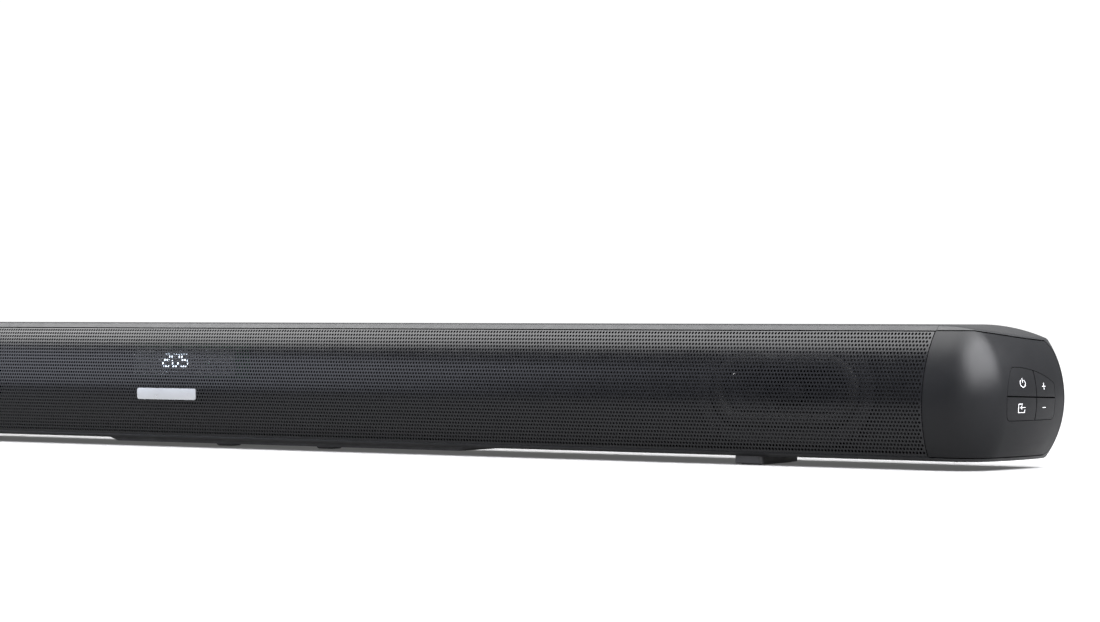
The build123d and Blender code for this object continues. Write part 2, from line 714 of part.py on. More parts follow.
def power_inlet():
    """Two-pin mains inlet with a rounded mouth."""
    body = block(INLET_X - 14, INLET_X + 14, 62, BODY_DEPTH - 0.1, INLET_Z - 8, INLET_Z + 8)
    body = fillet(body.edges().filter_by(Axis.Y), 1.5)
    body += block(INLET_X - 10, INLET_X + 10, 47, 62, INLET_Z - 6.5, INLET_Z + 6.5)
    body -= racetrack(14.2, 8.6, 51, 66, INLET_X, INLET_Z)
    for dx in (-4.3, 4.3):
        body += rod(1.2, (INLET_X + dx, 50, INLET_Z), (INLET_X + dx, 60.5, INLET_Z))
    return body


def power_board():
    """The level board of the mains supply."""
    board = block(POWER_LEFT, POWER_RIGHT, 24, 44, POWER_Z, POWER_Z + BOARD_THICK)
    for x in (POWER_LEFT + 4, POWER_RIGHT - 4):
        for y in (27, 41):
            board -= rod(1.6, (x, y, 0), (x, y, 30))
    return board


def transformer():
    """Ferrite transformer: two core halves round a wound bobbin."""
    base = POWER_Z + BOARD_THICK
    core = block(-206, -178, 27, 41, base + 2, base + 26)
    core -= block(-201, -183, 20, 50, base + 7, base + 21)
    core += block(-195, -189, 27, 41, base + 2, base + 26)
    bobbin = block(-200.5, -183.5, 25.5, 42.5, base, base + 22)
    bobbin = fillet(bobbin.edges().filter_by(Axis.Z), 3)
    return core + bobbin


def capacitors():
    """Three upright capacitors on the supply board."""
    base = POWER_Z + BOARD_THICK
    group = []
    for x, radius, height in ((-230, 7.5, 28), (-160, 5, 22), (-147, 5, 22)):
        can = rod(radius, (x, 34, base), (x, 34, base + height))
        ends = can.edges().filter_by(GeomType.CIRCLE)
        can = fillet(ends, 0.8)
        group.append(can)
    return group


def heatsink():
    """Finned aluminium heatsink of the supply."""
    base = POWER_Z + BOARD_THICK
    body = block(-134, -106, 33, 36, base, base + 24)
    for i in range(7):
        x = -133 + i * 4.3
        body += block(x - 0.6, x + 0.6, 26, 42, base, base + 24)
    return body


def radio_module():
    """The shielded wireless module on the front of the main board."""
    body = block(104, 124, MAIN_FRONT - 3.2, MAIN_FRONT, 30, 46)
    body = fillet(body.faces().sort_by(Axis.Y)[0].edges(), 0.6)
    return body + block(100, 128, MAIN_FRONT - 0.8, MAIN_FRONT, 27, 54)


def bulkhead(cable_hole):
    """The wall that closes a speaker chamber, notched for the baffle and its flanges."""
    section = cabinet_section(WALL + 0.1)
    body = side_prism(section, BULKHEAD_X - 1.5, BULKHEAD_X + 1.5)
    rear = BAFFLE_FRONT + BAFFLE_THICK
    body -= block(BULKHEAD_X - 5, BULKHEAD_X + 5, -5, rear + 0.1, 0, 70)
    body -= block(BULKHEAD_X - 5, BULKHEAD_X + 5, -5, rear + BAFFLE_FLANGE + 0.3, 0, BAFFLE_LOW + 2.1)
    body -= block(BULKHEAD_X - 5, BULKHEAD_X + 5, -5, rear + BAFFLE_FLANGE + 0.3, BAFFLE_HIGH - 2.1, 70)
    body -= rod(1.8, (BULKHEAD_X - 5, WIRE_Y, WIRE_Z), (BULKHEAD_X + 5, WIRE_Y, WIRE_Z))
    if cable_hole:
        body -= rod(1.6, (BULKHEAD_X - 5, CABLE_Y, CABLE_Z), (BULKHEAD_X + 5, CABLE_Y, CABLE_Z))
    return body


# ---------------------------------------------------------------- wires inside

def wire(points, radius, bends):
    """A round wire along straight runs joined by arcs."""
    path = FilletPolyline(*points, radius=bends)
    start = path @ 0
    direction = path % 0
    return sweep(Plane(origin=start, z_dir=direction) * Circle(radius), path=path)


def speaker_wire():
    """From the main board through the right bulkhead to the driver terminals."""
    points = [
        (MAIN_RIGHT - 14, MAIN_REAR + 0.2, WIRE_Z - 2),
        (MAIN_RIGHT - 14, WIRE_Y, WIRE_Z - 2),
        (MAIN_RIGHT + 6, WIRE_Y, WIRE_Z),
        (330, WIRE_Y, WIRE_Z),
        (338, 38, WIRE_Z - 4),
    ]
    return wire(points, WIRE_RADIUS, [2.4, 2.4, 5.0])


def speaker_wire_left():
    """From the main board through the left bulkhead to the driver terminals."""
    points = [
        (MAIN_LEFT + 14, MAIN_REAR + 0.2, WIRE_Z - 2),
        (MAIN_LEFT + 14, WIRE_Y, WIRE_Z - 2),
        (MAIN_LEFT - 6, WIRE_Y, WIRE_Z),
        (-330, WIRE_Y, WIRE_Z),
        (-338, 38, WIRE_Z - 4),
    ]
    return wire(points, WIRE_RADIUS, [2.4, 2.4, 5.0])


def button_cable():
    """From the button board back over the right driver to the main board."""
    points = [
        (BOARD_X - 3.9, 36, 33),
        (448, 36, 33),
        (442, 56, 40),
        (420, CABLE_Y, CABLE_Z),
        (154, CABLE_Y, CABLE_Z),
        (138, 52, 22),
        (138, MAIN_REAR + 0.2, 22),
    ]
    return wire(points, 0.9, [2.5, 6.0, 8.0, 5.0, 2.4])


# ---------------------------------------------------------------- feet, cover, hanging plates

def foot():
    """The block foot under the right end, with its hollow for the pad."""
    body = block(FOOT_X - FOOT_WIDTH / 2, FOOT_X + FOOT_WIDTH / 2, FOOT_FRONT, FOOT_BACK,
                 PAD_THICK - 0.6, BODY_BOTTOM)
    body = fillet(body.edges().filter_by(Axis.Z), 2.0)
    body = chamfer(body.faces().sort_by(Axis.Z)[0].edges(), 0.4)
    inner = 2.0
    return body - block(FOOT_X - FOOT_WIDTH / 2 + inner, FOOT_X + FOOT_WIDTH / 2 - inner,
                        FOOT_FRONT + inner, FOOT_BACK - inner, 0, PAD_THICK)


def foot_pad():
    """The rubber pad let into a foot."""
    inner = 2.1
    pad = block(FOOT_X - FOOT_WIDTH / 2 + inner, FOOT_X + FOOT_WIDTH / 2 - inner,
                FOOT_FRONT + inner, FOOT_BACK - inner, 0, PAD_THICK)
    pad = fillet(pad.edges().filter_by(Axis.Z), 1.5)
    return chamfer(pad.faces().sort_by(Axis.Z)[0].edges(), 0.2)


def cover_screw_places():
    """Places of the screws in the cover under the middle."""
    columns = (COVER_LEFT + 7, (COVER_LEFT + COVER_RIGHT) / 2, COVER_RIGHT - 7)
    return [(x, y) for x in columns for y in (COVER_FRONT + 4.5, COVER_BACK - 4.5)]


def bottom_cover():
    """The long low cover under the middle, with sloped ends and two bumps."""
    slope = 6.0
    outline = [(COVER_LEFT, BODY_BOTTOM), (COVER_LEFT + slope, COVER_BOTTOM),
               (COVER_RIGHT - slope, COVER_BOTTOM), (COVER_RIGHT, BODY_BOTTOM)]
    face = make_face(Polyline(*outline, close=True))
    body = extrude(Plane(origin=(0, COVER_FRONT, 0), x_dir=(1, 0, 0), z_dir=(0, -1, 0)) * face,
                   -(COVER_BACK - COVER_FRONT))
    for x in BUMP_X:
        bump = block(x - 5, x + 5, COVER_FRONT + 1, COVER_FRONT + 9, BUMP_BOTTOM, COVER_BOTTOM + 0.5)
        body += chamfer(bump.faces().sort_by(Axis.Z)[0].edges(), 0.7)
    for x, y in cover_screw_places():
        body -= rod(1.5, (x, y, 0), (x, y, 10))
        body -= rod(2.5, (x, y, 0), (x, y, COVER_BOTTOM + 1.0))
    return body


def keyhole_plate():
    """A steel plate with a keyhole for hanging the bar on a wall screw."""
    back = BODY_DEPTH - 0.1
    x, z = KEYHOLE_X, KEYHOLE_Z
    plate = block(x - 18, x + 18, back - 1.4, back, z - 14, z + 14)
    plate = fillet(plate.edges().filter_by(Axis.Y), 2.0)
    plate -= rod(KEYHOLE_HEAD, (x, 50, z - 4), (x, 70, z - 4))
    plate -= block(x - KEYHOLE_SHANK, x + KEYHOLE_SHANK, 50, 70, z - 4, z - 4 + KEYHOLE_DROP)
    plate -= rod(KEYHOLE_SHANK, (x, 50, z - 4 + KEYHOLE_DROP), (x, 70, z - 4 + KEYHOLE_DROP))
    for dx in (-13, 13):
        face, neck = Vector(x + dx, back, z), Vector(x + dx, back - 1.4, z)
        plate -= loft([Plane(origin=face, z_dir=(0, -1, 0)) * Circle(2.5),
                       Plane(origin=neck, z_dir=(0, -1, 0)) * Circle(1.2)])
    return plate


# ---------------------------------------------------------------- fasteners

def cabinet_screws():
    """Six screws through the underside into the baffle flange."""
    return [screw((x, CABINET_SCREW_Y, BODY_BOTTOM + 0.1), (0, 0, 1), 9.0) for x in CABINET_SCREW_X]


def cover_screws():
    """Six screws through the cover under the middle."""
    return [screw((x, y, COVER_BOTTOM + 0.05), (0, 0, 1), 4.4, 2.2, 0.9, 1.1)
            for x, y in cover_screw_places()]


def driver_screws():
    """Four screws for each drive unit."""
    group = []
    for side in (-1, 1):
        for dx, dz in driver_holes():
            head = (side * DRIVER_X + dx, 11.0, DRIVER_Z + dz)
            group.append(screw(head, (0, 1, 0), 7.5, 2.5, 1.4, 1.25))
    return group


def board_screws():
    """Four screws through the main board."""
    return [screw((x, MAIN_FRONT - 1.6, z), (0, 1, 0), 8.0, 2.6, 1.6, 1.4)
            for x, z in main_board_holes()]


def plate_screws():
    """Two screws for each hanging plate."""
    group = []
    for x in (-KEYHOLE_X, KEYHOLE_X):
        for dx in (-13, 13):
            group.append(flat_screw((x + dx, BODY_DEPTH - 0.1, KEYHOLE_Z), (0, -1, 0), 4.6))
    return group


# ---------------------------------------------------------------- output

def save(name, part):
    """Write one node, moved so that the origin is at the bottom centre of the object."""
    shift = Location((0, -CENTRE_DEPTH, 0))
    if isinstance(part, list):
        part = Compound(children=[piece.moved(shift) for piece in part])
    else:
        part = part.moved(shift)
    export_step(part, os.path.join("parts", name + ".step"))


def main():
    """Build every node and write it."""
    os.makedirs("parts", exist_ok=True)
    shell = end_shell()
    cap = end_cap(shell)
    housing = end_housing(shell)
    save("end_cap_left", mirrored(cap))
    save("end_cap_right", cap - side_prism(field_face(), 440, 480))
    save("end_housing_left", mirrored(housing))
    save("end_housing_right", housing)
    for name, button in buttons().items():
        save(name, button)
    for build in (
        front_grille, grille_badge, front_baffle, rear_cabinet, button_carrier, button_board,
        button_switches, display_window, display_module, display_board, infrared_receiver,
        main_board, socket_panel, hdmi_socket, optical_socket, usb_socket, aux_socket,
        power_inlet, power_board, transformer, capacitors, heatsink, radio_module, bottom_cover,
        cabinet_screws, cover_screws, driver_screws, board_screws, plate_screws, button_cable,
        speaker_wire_left,
    ):
        save(build.__name__, build())
    save("speaker_wire_right", speaker_wire())
    for name, part in (
        ("driver_frame", driver_frame()), ("driver_gasket", driver_gasket()),
        ("driver_surround", driver_surround()), ("driver_cone", driver_cone()),
        ("driver_dust_cap", driver_dust_cap()), ("driver_magnet", driver_magnet()),
    ):
        save(name + "_left", driver_place(part, -1))
        save(name + "_right", driver_place(part, 1))
    for name, part in (
        ("foot", foot()), ("foot_pad", foot_pad()), ("keyhole_plate", keyhole_plate()),
    ):
        save(name + "_left", mirrored(part))
        save(name + "_right", part)
    save("chamber_wall_left", mirrored(bulkhead(cable_hole=False)))
    save("chamber_wall_right", bulkhead(cable_hole=True))


if __name__ == "__main__":
    main()
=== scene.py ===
"""Looks for a slim soundbar: a bowed, perforated grille between two satin ends with four side keys."""

import json
import logging
import math
from dataclasses import dataclass
from enum import Enum
from typing import Iterable, Sequence, TypeAlias

import bmesh
import bpy
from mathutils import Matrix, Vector
from mathutils.bvhtree import BVHTree


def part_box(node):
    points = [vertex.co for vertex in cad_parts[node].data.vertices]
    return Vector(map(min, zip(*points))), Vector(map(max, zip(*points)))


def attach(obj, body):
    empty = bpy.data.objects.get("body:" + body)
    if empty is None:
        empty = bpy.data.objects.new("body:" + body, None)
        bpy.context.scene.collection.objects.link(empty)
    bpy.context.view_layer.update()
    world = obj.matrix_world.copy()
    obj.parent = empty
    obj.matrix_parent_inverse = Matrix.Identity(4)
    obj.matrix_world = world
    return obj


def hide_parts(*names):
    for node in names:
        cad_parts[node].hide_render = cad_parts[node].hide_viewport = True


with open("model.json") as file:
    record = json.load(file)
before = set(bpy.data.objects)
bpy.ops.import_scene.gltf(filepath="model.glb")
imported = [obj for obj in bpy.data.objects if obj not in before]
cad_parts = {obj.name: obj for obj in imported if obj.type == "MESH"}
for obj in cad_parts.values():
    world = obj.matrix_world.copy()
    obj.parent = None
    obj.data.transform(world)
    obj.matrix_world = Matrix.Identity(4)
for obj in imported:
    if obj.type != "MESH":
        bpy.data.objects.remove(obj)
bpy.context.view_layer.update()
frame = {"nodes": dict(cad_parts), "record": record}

LOG = logging.getLogger("soundbar")
Colour: TypeAlias = tuple[float, float, float]
Point: TypeAlias = tuple[float, float]
MM = 0.001
MAIN_BODY = "bar"
SMOOTH_ANGLE = math.radians(50)
WELD = 0.008 * MM
FINE_WELD = 0.001 * MM
COAT_ROUGHNESS = 0.15
EDGE_SAMPLES = 3
EDGE_FULL, EDGE_NONE = 0.80, 0.985
TINT_BLOB, GLOSS_BLOB, WEAR_AND_HIGHLIGHT_BLOB = 14 * MM, 6 * MM, 3 * MM
# paler, glossier edges: partly rubbed wear, partly a painted highlight along the edges
EDGE_WEAR_AND_HIGHLIGHT_GAIN, EDGE_WEAR_AND_HIGHLIGHT_LIFT, RUBBED_GLOSS = 2.2, 0.03, 0.12


class Side(Enum):
    """The two ends of the bar."""

    LEFT = -1
    RIGHT = 1

    @property
    def suffix(self) -> str:
        """The ending of this side's node names."""
        return self.name.lower()


class Grain(Enum):
    """Kinds of fine surface relief."""

    SPARK = "spark"
    ORANGE_PEEL = "orange_peel"
    BRUSHED = "brushed"
    WEAVE = "weave"
    FIBRE = "fibre"
    PORES = "pores"


def add_node(tree: bpy.types.NodeTree, kind: str, inputs: dict | None = None,
             **settings: object) -> bpy.types.Node:
    """Add a node to any tree.

    Args:
        tree: The tree.
        kind: The node type.
        inputs: Values or sockets for its inputs, by name or index.
        settings: Properties of the node.

    Returns:
        The new node.
    """
    node = tree.nodes.new(kind)
    for key, value in settings.items():
        setattr(node, key, value)
    for key, value in (inputs or {}).items():
        if isinstance(value, bpy.types.NodeSocket):
            tree.links.new(value, node.inputs[key])
        else:
            node.inputs[key].default_value = value
    return node


# ---------------------------------------------------------------- materials


class Shader:
    """A Principled material while it is being wired up."""

    def __init__(self, name: str) -> None:
        """Start a new material.

        Args:
            name: The material's name.
        """
        self.material = bpy.data.materials.new(name)
        self.material.use_nodes = True
        self.tree = self.material.node_tree
        self.surface = self.tree.nodes["Principled BSDF"]
        self.place = self.add("ShaderNodeTexCoord").outputs["Object"]

    def add(self, kind: str, inputs: dict | None = None, **settings: object) -> bpy.types.Node:
        """Add a node to this tree, as add_node does."""
        return add_node(self.tree, kind, inputs, **settings)

    def constant(self, **values: float | Colour) -> None:
        """Put fixed values straight on the shader's sockets.

        Args:
            values: Socket names in lower case with underscores, and their values.
        """
        for key, value in values.items():
            socket = self.surface.inputs[key.replace("_", " ").title().replace("Ior", "IOR")]
            socket.default_value = (*value, 1.0) if isinstance(value, tuple) else value

    def wire(self, name: str, socket: bpy.types.NodeSocket) -> None:
        """Feed one of the shader's sockets.

        Args:
            name: The socket's name.
            socket: What feeds it.
        """
        self.tree.links.new(socket, self.surface.inputs[name])

    def stretched(self, stretch: Sequence[float]) -> bpy.types.NodeSocket:
        """The object's own coordinates, scaled along each axis.

        Args:
            stretch: Scale along X, Y and Z.

        Returns:
            The vector socket.
        """
        return self.add("ShaderNodeMapping", {"Vector": self.place, "Scale": stretch}).outputs[0]

    def noise(self, size: float, detail: float = 3.0,
              stretch: Sequence[float] = (1, 1, 1)) -> bpy.types.NodeSocket:
        """Soft noise.

        Args:
            size: Size of a blob, in metres.
            detail: How many finer layers it has.
            stretch: Scale along each axis.

        Returns:
            The value socket, from 0 to 1.
        """
        inputs = {"Vector": self.stretched(stretch), "Scale": 1 / size, "Detail": detail}
        return self.add("ShaderNodeTexNoise", inputs).outputs[0]

    def cells(self, size: float) -> bpy.types.NodeSocket:
        """Distance to the nearest cell centre.

        Args:
            size: Size of a cell, in metres.

        Returns:
            The value socket.
        """
        return self.add("ShaderNodeTexVoronoi", {"Vector": self.place, "Scale": 1 / size}).outputs[0]

    def bands(self, size: float, direction: str) -> bpy.types.NodeSocket:
        """Even ridges.

        Args:
            size: Distance from ridge to ridge, in metres.
            direction: X, Y, Z or DIAGONAL.

        Returns:
            The value socket.
        """
        scale = 2 * math.pi / (20 * size)
        node = self.add("ShaderNodeTexWave", {"Vector": self.place, "Scale": scale},
                        bands_direction=direction)
        return node.outputs[1]

    def spread(self, source: bpy.types.NodeSocket, low: float, high: float,
               start: float = 0.25, end: float = 0.75) -> bpy.types.NodeSocket:
        """Map a value onto a new range.

        Args:
            source: The value to map.
            low: Result at start.
            high: Result at end.
            start: Where the source begins to count.
            end: Where it stops.

        Returns:
            The mapped value.
        """
        inputs = {0: source, 1: start, 2: end, 3: low, 4: high}
        return self.add("ShaderNodeMapRange", inputs).outputs[0]

    def sum(self, first: bpy.types.NodeSocket, second: bpy.types.NodeSocket | float,
            operation: str = "ADD") -> bpy.types.NodeSocket:
        """Combine two values.

        Args:
            first: One value.
            second: The other.
            operation: The Math node's operation.

        Returns:
            The result.
        """
        return self.add("ShaderNodeMath", {0: first, 1: second}, operation=operation).outputs[0]

    def blend(self, factor: bpy.types.NodeSocket, low: Colour | bpy.types.NodeSocket,
              high: Colour | bpy.types.NodeSocket) -> bpy.types.NodeSocket:
        """Mix two colours.

        Args:
            factor: 0 gives low and 1 gives high.
            low: A colour or socket.
            high: A colour or socket.

        Returns:
            The colour socket.
        """
        values = {0: factor}
        for index, value in ((6, low), (7, high)):
            values[index] = (*value, 1.0) if isinstance(value, tuple) else value
        return self.add("ShaderNodeMix", values, data_type="RGBA").outputs[2]

    def edges(self, radius: float) -> bpy.types.NodeSocket:
        """A mask of the sharp edges.

        Args:
            radius: How far the mask reaches from an edge, in metres.

        Returns:
            0 away from edges and 1 on them.
        """
        rounded = self.add("ShaderNodeBevel", {"Radius": radius}, samples=EDGE_SAMPLES).outputs[0]
        flat = self.add("ShaderNodeNewGeometry").outputs["Normal"]
        same = self.add("ShaderNodeVectorMath", {0: rounded, 1: flat}, operation="DOT_PRODUCT")
        return self.spread(same.outputs["Value"], 1.0, 0.0, EDGE_FULL, EDGE_NONE)

    def relief(self, height: bpy.types.NodeSocket, depth: float) -> bpy.types.NodeSocket:
        """Turn a height into a surface normal.

        Args:
            height: The height, from 0 to 1.
            depth: What 1 means, in metres.

        Returns:
            The normal socket.
        """
        inputs = {"Height": height, "Distance": depth, "Strength": 1.0}
        return self.add("ShaderNodeBump", inputs).outputs[0]


@dataclass(frozen=True)
class Finish:
    """A coloured surface with fine relief, uneven gloss, and paler edges that are partly wear and partly a
    painted edge highlight.
    """

    colour: Colour
    roughness: float
    grain: Grain = Grain.SPARK
    grain_size: float = 0.35 * MM
    grain_depth: float = 0.006 * MM
    gloss_spread: float = 0.07
    shade: float = 0.18
    # how much paler the edges get, and how far: partly wear, partly a painted edge highlight
    wear: float = 0.25
    wear_reach: float = 0.25 * MM
    metallic: float = 0.0
    specular: float = 0.5
    coat: float = 0.0

    def pattern(self, shader: Shader) -> bpy.types.NodeSocket:
        """The height pattern of the relief.

        Args:
            shader: The material under construction.

        Returns:
            A value socket.
        """
        size = self.grain_size
        if self.grain is Grain.SPARK:
            return shader.sum(shader.cells(size), shader.noise(size * 0.6, 2.0))
        if self.grain is Grain.BRUSHED:
            return shader.noise(size, 2.0, (0.04, 1, 1))
        if self.grain is Grain.WEAVE:
            return shader.sum(shader.bands(size, "X"), shader.bands(size, "Z"), "MULTIPLY")
        if self.grain is Grain.FIBRE:
            return shader.sum(shader.noise(size, 4.0, (0.25, 1, 1)), shader.noise(size, 4.0, (1, 1, 0.25)))
        if self.grain is Grain.PORES:
            return shader.sum(shader.cells(size), shader.cells(size * 2.3), "MULTIPLY")
        return shader.noise(size, 2.0)

    def tint(self, shader: Shader) -> bpy.types.NodeSocket:
        """The surface colour before the edge wear and the painted edge highlight.

        Args:
            shader: The material under construction.

        Returns:
            A colour socket.
        """
        low = tuple(part * (1 - self.shade) for part in self.colour)
        high = tuple(part * (1 + self.shade) for part in self.colour)
        return shader.blend(shader.noise(TINT_BLOB, 4.0), low, high)

    def build(self, name: str) -> bpy.types.Material:
        """Make the material.

        Args:
            name: The material's name.

        Returns:
            The finished material.
        """
        shader = Shader(name)
        shader.constant(metallic=self.metallic, specular_ior_level=self.specular)
        shader.constant(coat_weight=self.coat, coat_roughness=COAT_ROUGHNESS)
        # edges are made paler in colour: partly rubbed wear, partly a painted highlight along the edges
        worn_and_lit_edges = shader.spread(shader.edges(self.wear_reach), 0.0, self.wear, 0.0, 1.0)
        rubbed_and_lit_edges = shader.sum(worn_and_lit_edges, shader.spread(shader.noise(WEAR_AND_HIGHLIGHT_BLOB), 0.3, 1.0), "MULTIPLY")
        pale = tuple(min(1.0, part * EDGE_WEAR_AND_HIGHLIGHT_GAIN + EDGE_WEAR_AND_HIGHLIGHT_LIFT) for part in self.colour)
        shader.wire("Base Color", shader.blend(rubbed_and_lit_edges, self.tint(shader), pale))
        low, high = self.roughness - self.gloss_spread, self.roughness + self.gloss_spread
        gloss = shader.spread(shader.noise(GLOSS_BLOB, 5.0), low, high)
        polish = shader.sum(rubbed_and_lit_edges, RUBBED_GLOSS, "MULTIPLY")
        shader.wire("Roughness", shader.sum(gloss, polish, "SUBTRACT"))
        shader.wire("Normal", shader.relief(self.pattern(shader), self.grain_depth))
        return shader.material


@dataclass(frozen=True)
class BoardFinish(Finish):
    """Circuit board with a net of paler tracks."""

    track: Colour = (0.008, 0.038, 0.016)
    track_cell: float = 4 * MM
    track_edge: tuple[float, float] = (0.05, 0.09)

    def tint(self, shader: Shader) -> bpy.types.NodeSocket:
        """Board colour with a net of tracks.

        Args:
            shader: The material under construction.

        Returns:
            A colour socket.
        """
        net = shader.add("ShaderNodeTexVoronoi", {"Vector": shader.place, "Scale": 1 / self.track_cell},
                         distance="MANHATTAN", feature="DISTANCE_TO_EDGE").outputs[0]
        return shader.blend(shader.spread(net, 1.0, 0.0, *self.track_edge), self.colour, self.track)


@dataclass(frozen=True)
class LensFinish:
    """Smoked clear plastic."""

    colour: Colour
    roughness: float
    clear: float

    def build(self, name: str) -> bpy.types.Material:
        """Make the material.

        Args:
            name: The material's name.

        Returns:
            The finished material.
        """
        shader = Shader(name)
        shader.constant(transmission_weight=self.clear, ior=1.49)
        shade = shader.noise(9 * MM)
        shader.wire("Base Color", shader.blend(shade, self.colour, tuple(c * 1.2 for c in self.colour)))
        shader.wire("Roughness", shader.spread(shader.noise(5 * MM, 5.0), self.roughness,
                                               self.roughness + 0.08))
        shader.wire("Normal", shader.relief(shader.noise(2 * MM), 0.004 * MM))
        return shader.material


@dataclass(frozen=True)
class LightFinish:
    """A lit display segment, which really glows, and a printed mark, whose glow is painted light; each with
    slightly uneven ink or glow.
    """

    colour: Colour
    glow: float

    def build(self, name: str) -> bpy.types.Material:
        """Make the material.

        Args:
            name: The material's name.

        Returns:
            The finished material.
        """
        shader = Shader(name)
        # emission: a real glow for lit segments, painted light for printed marks
        shader.constant(emission_strength=self.glow)
        fleck = shader.noise(0.3 * MM, 2.0)
        pale = tuple(part * 0.86 for part in self.colour)
        tint = shader.blend(fleck, pale, self.colour)
        shader.wire("Base Color", tint)
        shader.wire("Emission Color", tint)
        shader.wire("Roughness", shader.spread(fleck, 0.45, 0.6))
        shader.wire("Normal", shader.relief(fleck, 0.003 * MM))
        return shader.material


class Palette:
    """Every finish of the bar, made once and kept by slot name."""

    RECIPES: dict[str, Finish | LensFinish | LightFinish] = {
        "grille_paint": Finish((0.005, 0.0052, 0.006), 0.25, Grain.ORANGE_PEEL, 0.25 * MM, 0.002 * MM,
                               gloss_spread=0.03, wear=0.08, wear_reach=0.05 * MM, specular=0.22),
        "badge_metal": Finish((0.40, 0.41, 0.42), 0.34, Grain.BRUSHED, 0.06 * MM, 0.0015 * MM,
                              metallic=1.0, wear=0.5, shade=0.06),
        "cap_plastic": Finish((0.005, 0.0052, 0.0058), 0.38, Grain.ORANGE_PEEL, 0.22 * MM, 0.0022 * MM,
                              gloss_spread=0.03, shade=0.05, wear=0.15, wear_reach=0.15 * MM,
                              specular=0.13),
        "cabinet_plastic": Finish((0.009, 0.0093, 0.010), 0.42, Grain.SPARK, 0.45 * MM, 0.005 * MM,
                                  gloss_spread=0.04, shade=0.06, wear=0.3, specular=0.26),
        "button_plastic": Finish((0.005, 0.0052, 0.0058), 0.38, Grain.ORANGE_PEEL, 0.2 * MM, 0.002 * MM,
                                 gloss_spread=0.03, shade=0.05, wear=0.15, wear_reach=0.15 * MM,
                                 specular=0.15),
        "inner_plastic": Finish((0.006, 0.006, 0.0065), 0.6, Grain.SPARK, 0.6 * MM, 0.012 * MM, wear=0.12,
                                specular=0.2),
        "base_plastic": Finish((0.016, 0.016, 0.017), 0.58, Grain.SPARK, 0.7 * MM, 0.015 * MM),
        "pad_rubber": Finish((0.022, 0.022, 0.023), 0.82, Grain.PORES, 0.5 * MM, 0.02 * MM, specular=0.3),
        "board_green": BoardFinish((0.004, 0.018, 0.008), 0.45, Grain.ORANGE_PEEL, 0.5 * MM, 0.01 * MM,
                                   wear=0.1, specular=0.25),
        "display_black": Finish((0.006, 0.006, 0.007), 0.35, Grain.SPARK, 0.4 * MM, 0.006 * MM),
        "smoked_lens": LensFinish((0.35, 0.36, 0.38), 0.08, 0.95),
        "receiver_resin": Finish((0.02, 0.008, 0.012), 0.14, Grain.ORANGE_PEEL, 1.0 * MM, 0.004 * MM,
                                 coat=0.6),
        "driver_steel": Finish((0.014, 0.014, 0.015), 0.5, Grain.ORANGE_PEEL, 0.5 * MM, 0.01 * MM,
                               wear=0.15, specular=0.3),
        "cone_paper": Finish((0.010, 0.010, 0.011), 0.8, Grain.FIBRE, 0.9 * MM, 0.05 * MM, specular=0.2),
        "roll_rubber": Finish((0.010, 0.010, 0.010), 0.62, Grain.PORES, 0.4 * MM, 0.01 * MM, wear=0.1,
                              specular=0.3),
        "dust_cap_cloth": Finish((0.012, 0.012, 0.013), 0.75, Grain.WEAVE, 0.45 * MM, 0.04 * MM,
                                 specular=0.2),
        "magnet_ferrite": Finish((0.045, 0.045, 0.048), 0.5, Grain.PORES, 0.8 * MM, 0.02 * MM,
                                 metallic=0.4, wear=0.5),
        "gasket_foam": Finish((0.010, 0.010, 0.010), 0.95, Grain.PORES, 0.7 * MM, 0.06 * MM, specular=0.15),
        "winding_core": Finish((0.30, 0.17, 0.03), 0.45, Grain.BRUSHED, 0.35 * MM, 0.05 * MM,
                               metallic=0.2),
        "capacitor_sleeve": Finish((0.02, 0.03, 0.06), 0.28, Grain.ORANGE_PEEL, 1.5 * MM, 0.01 * MM,
                                   coat=0.5),
        "heatsink_aluminium": Finish((0.5, 0.5, 0.52), 0.38, Grain.BRUSHED, 0.15 * MM, 0.006 * MM,
                                     metallic=1.0, wear=0.5),
        "socket_steel": Finish((0.55, 0.55, 0.56), 0.26, Grain.BRUSHED, 0.12 * MM, 0.003 * MM,
                               metallic=1.0, wear=0.5),
        "socket_black": Finish((0.012, 0.012, 0.013), 0.36, Grain.SPARK, 0.3 * MM, 0.005 * MM),
        "plate_zinc": Finish((0.48, 0.49, 0.52), 0.36, Grain.PORES, 2.2 * MM, 0.006 * MM, metallic=1.0,
                             wear=0.4),
        "screw_black": Finish((0.02, 0.02, 0.022), 0.3, Grain.ORANGE_PEEL, 0.4 * MM, 0.006 * MM,
                              metallic=0.5, wear=0.3, wear_reach=0.12 * MM),
        "screw_zinc": Finish((0.55, 0.56, 0.58), 0.3, Grain.BRUSHED, 0.2 * MM, 0.004 * MM,
                             metallic=1.0, wear=0.5, wear_reach=0.12 * MM),
        "wire_sheath": Finish((0.02, 0.02, 0.022), 0.5, Grain.BRUSHED, 0.4 * MM, 0.01 * MM),
        "lit_segment": LightFinish((0.80, 0.90, 1.0), 12.0),
        # printed key signs: white ink with a small painted glow, though they are no lamp
        "white_print": LightFinish((0.60, 0.61, 0.62), 0.12),
    }

    def __init__(self) -> None:
        """Start with no finish made."""
        self.made: dict[str, bpy.types.Material] = {}

    def get(self, name: str) -> bpy.types.Material:
        """The material of that name, made on first use."""
        if name not in self.made:
            self.made[name] = self.RECIPES[name].build(name)
        return self.made[name]


PALETTE = Palette()


# ---------------------------------------------------------------- shared making


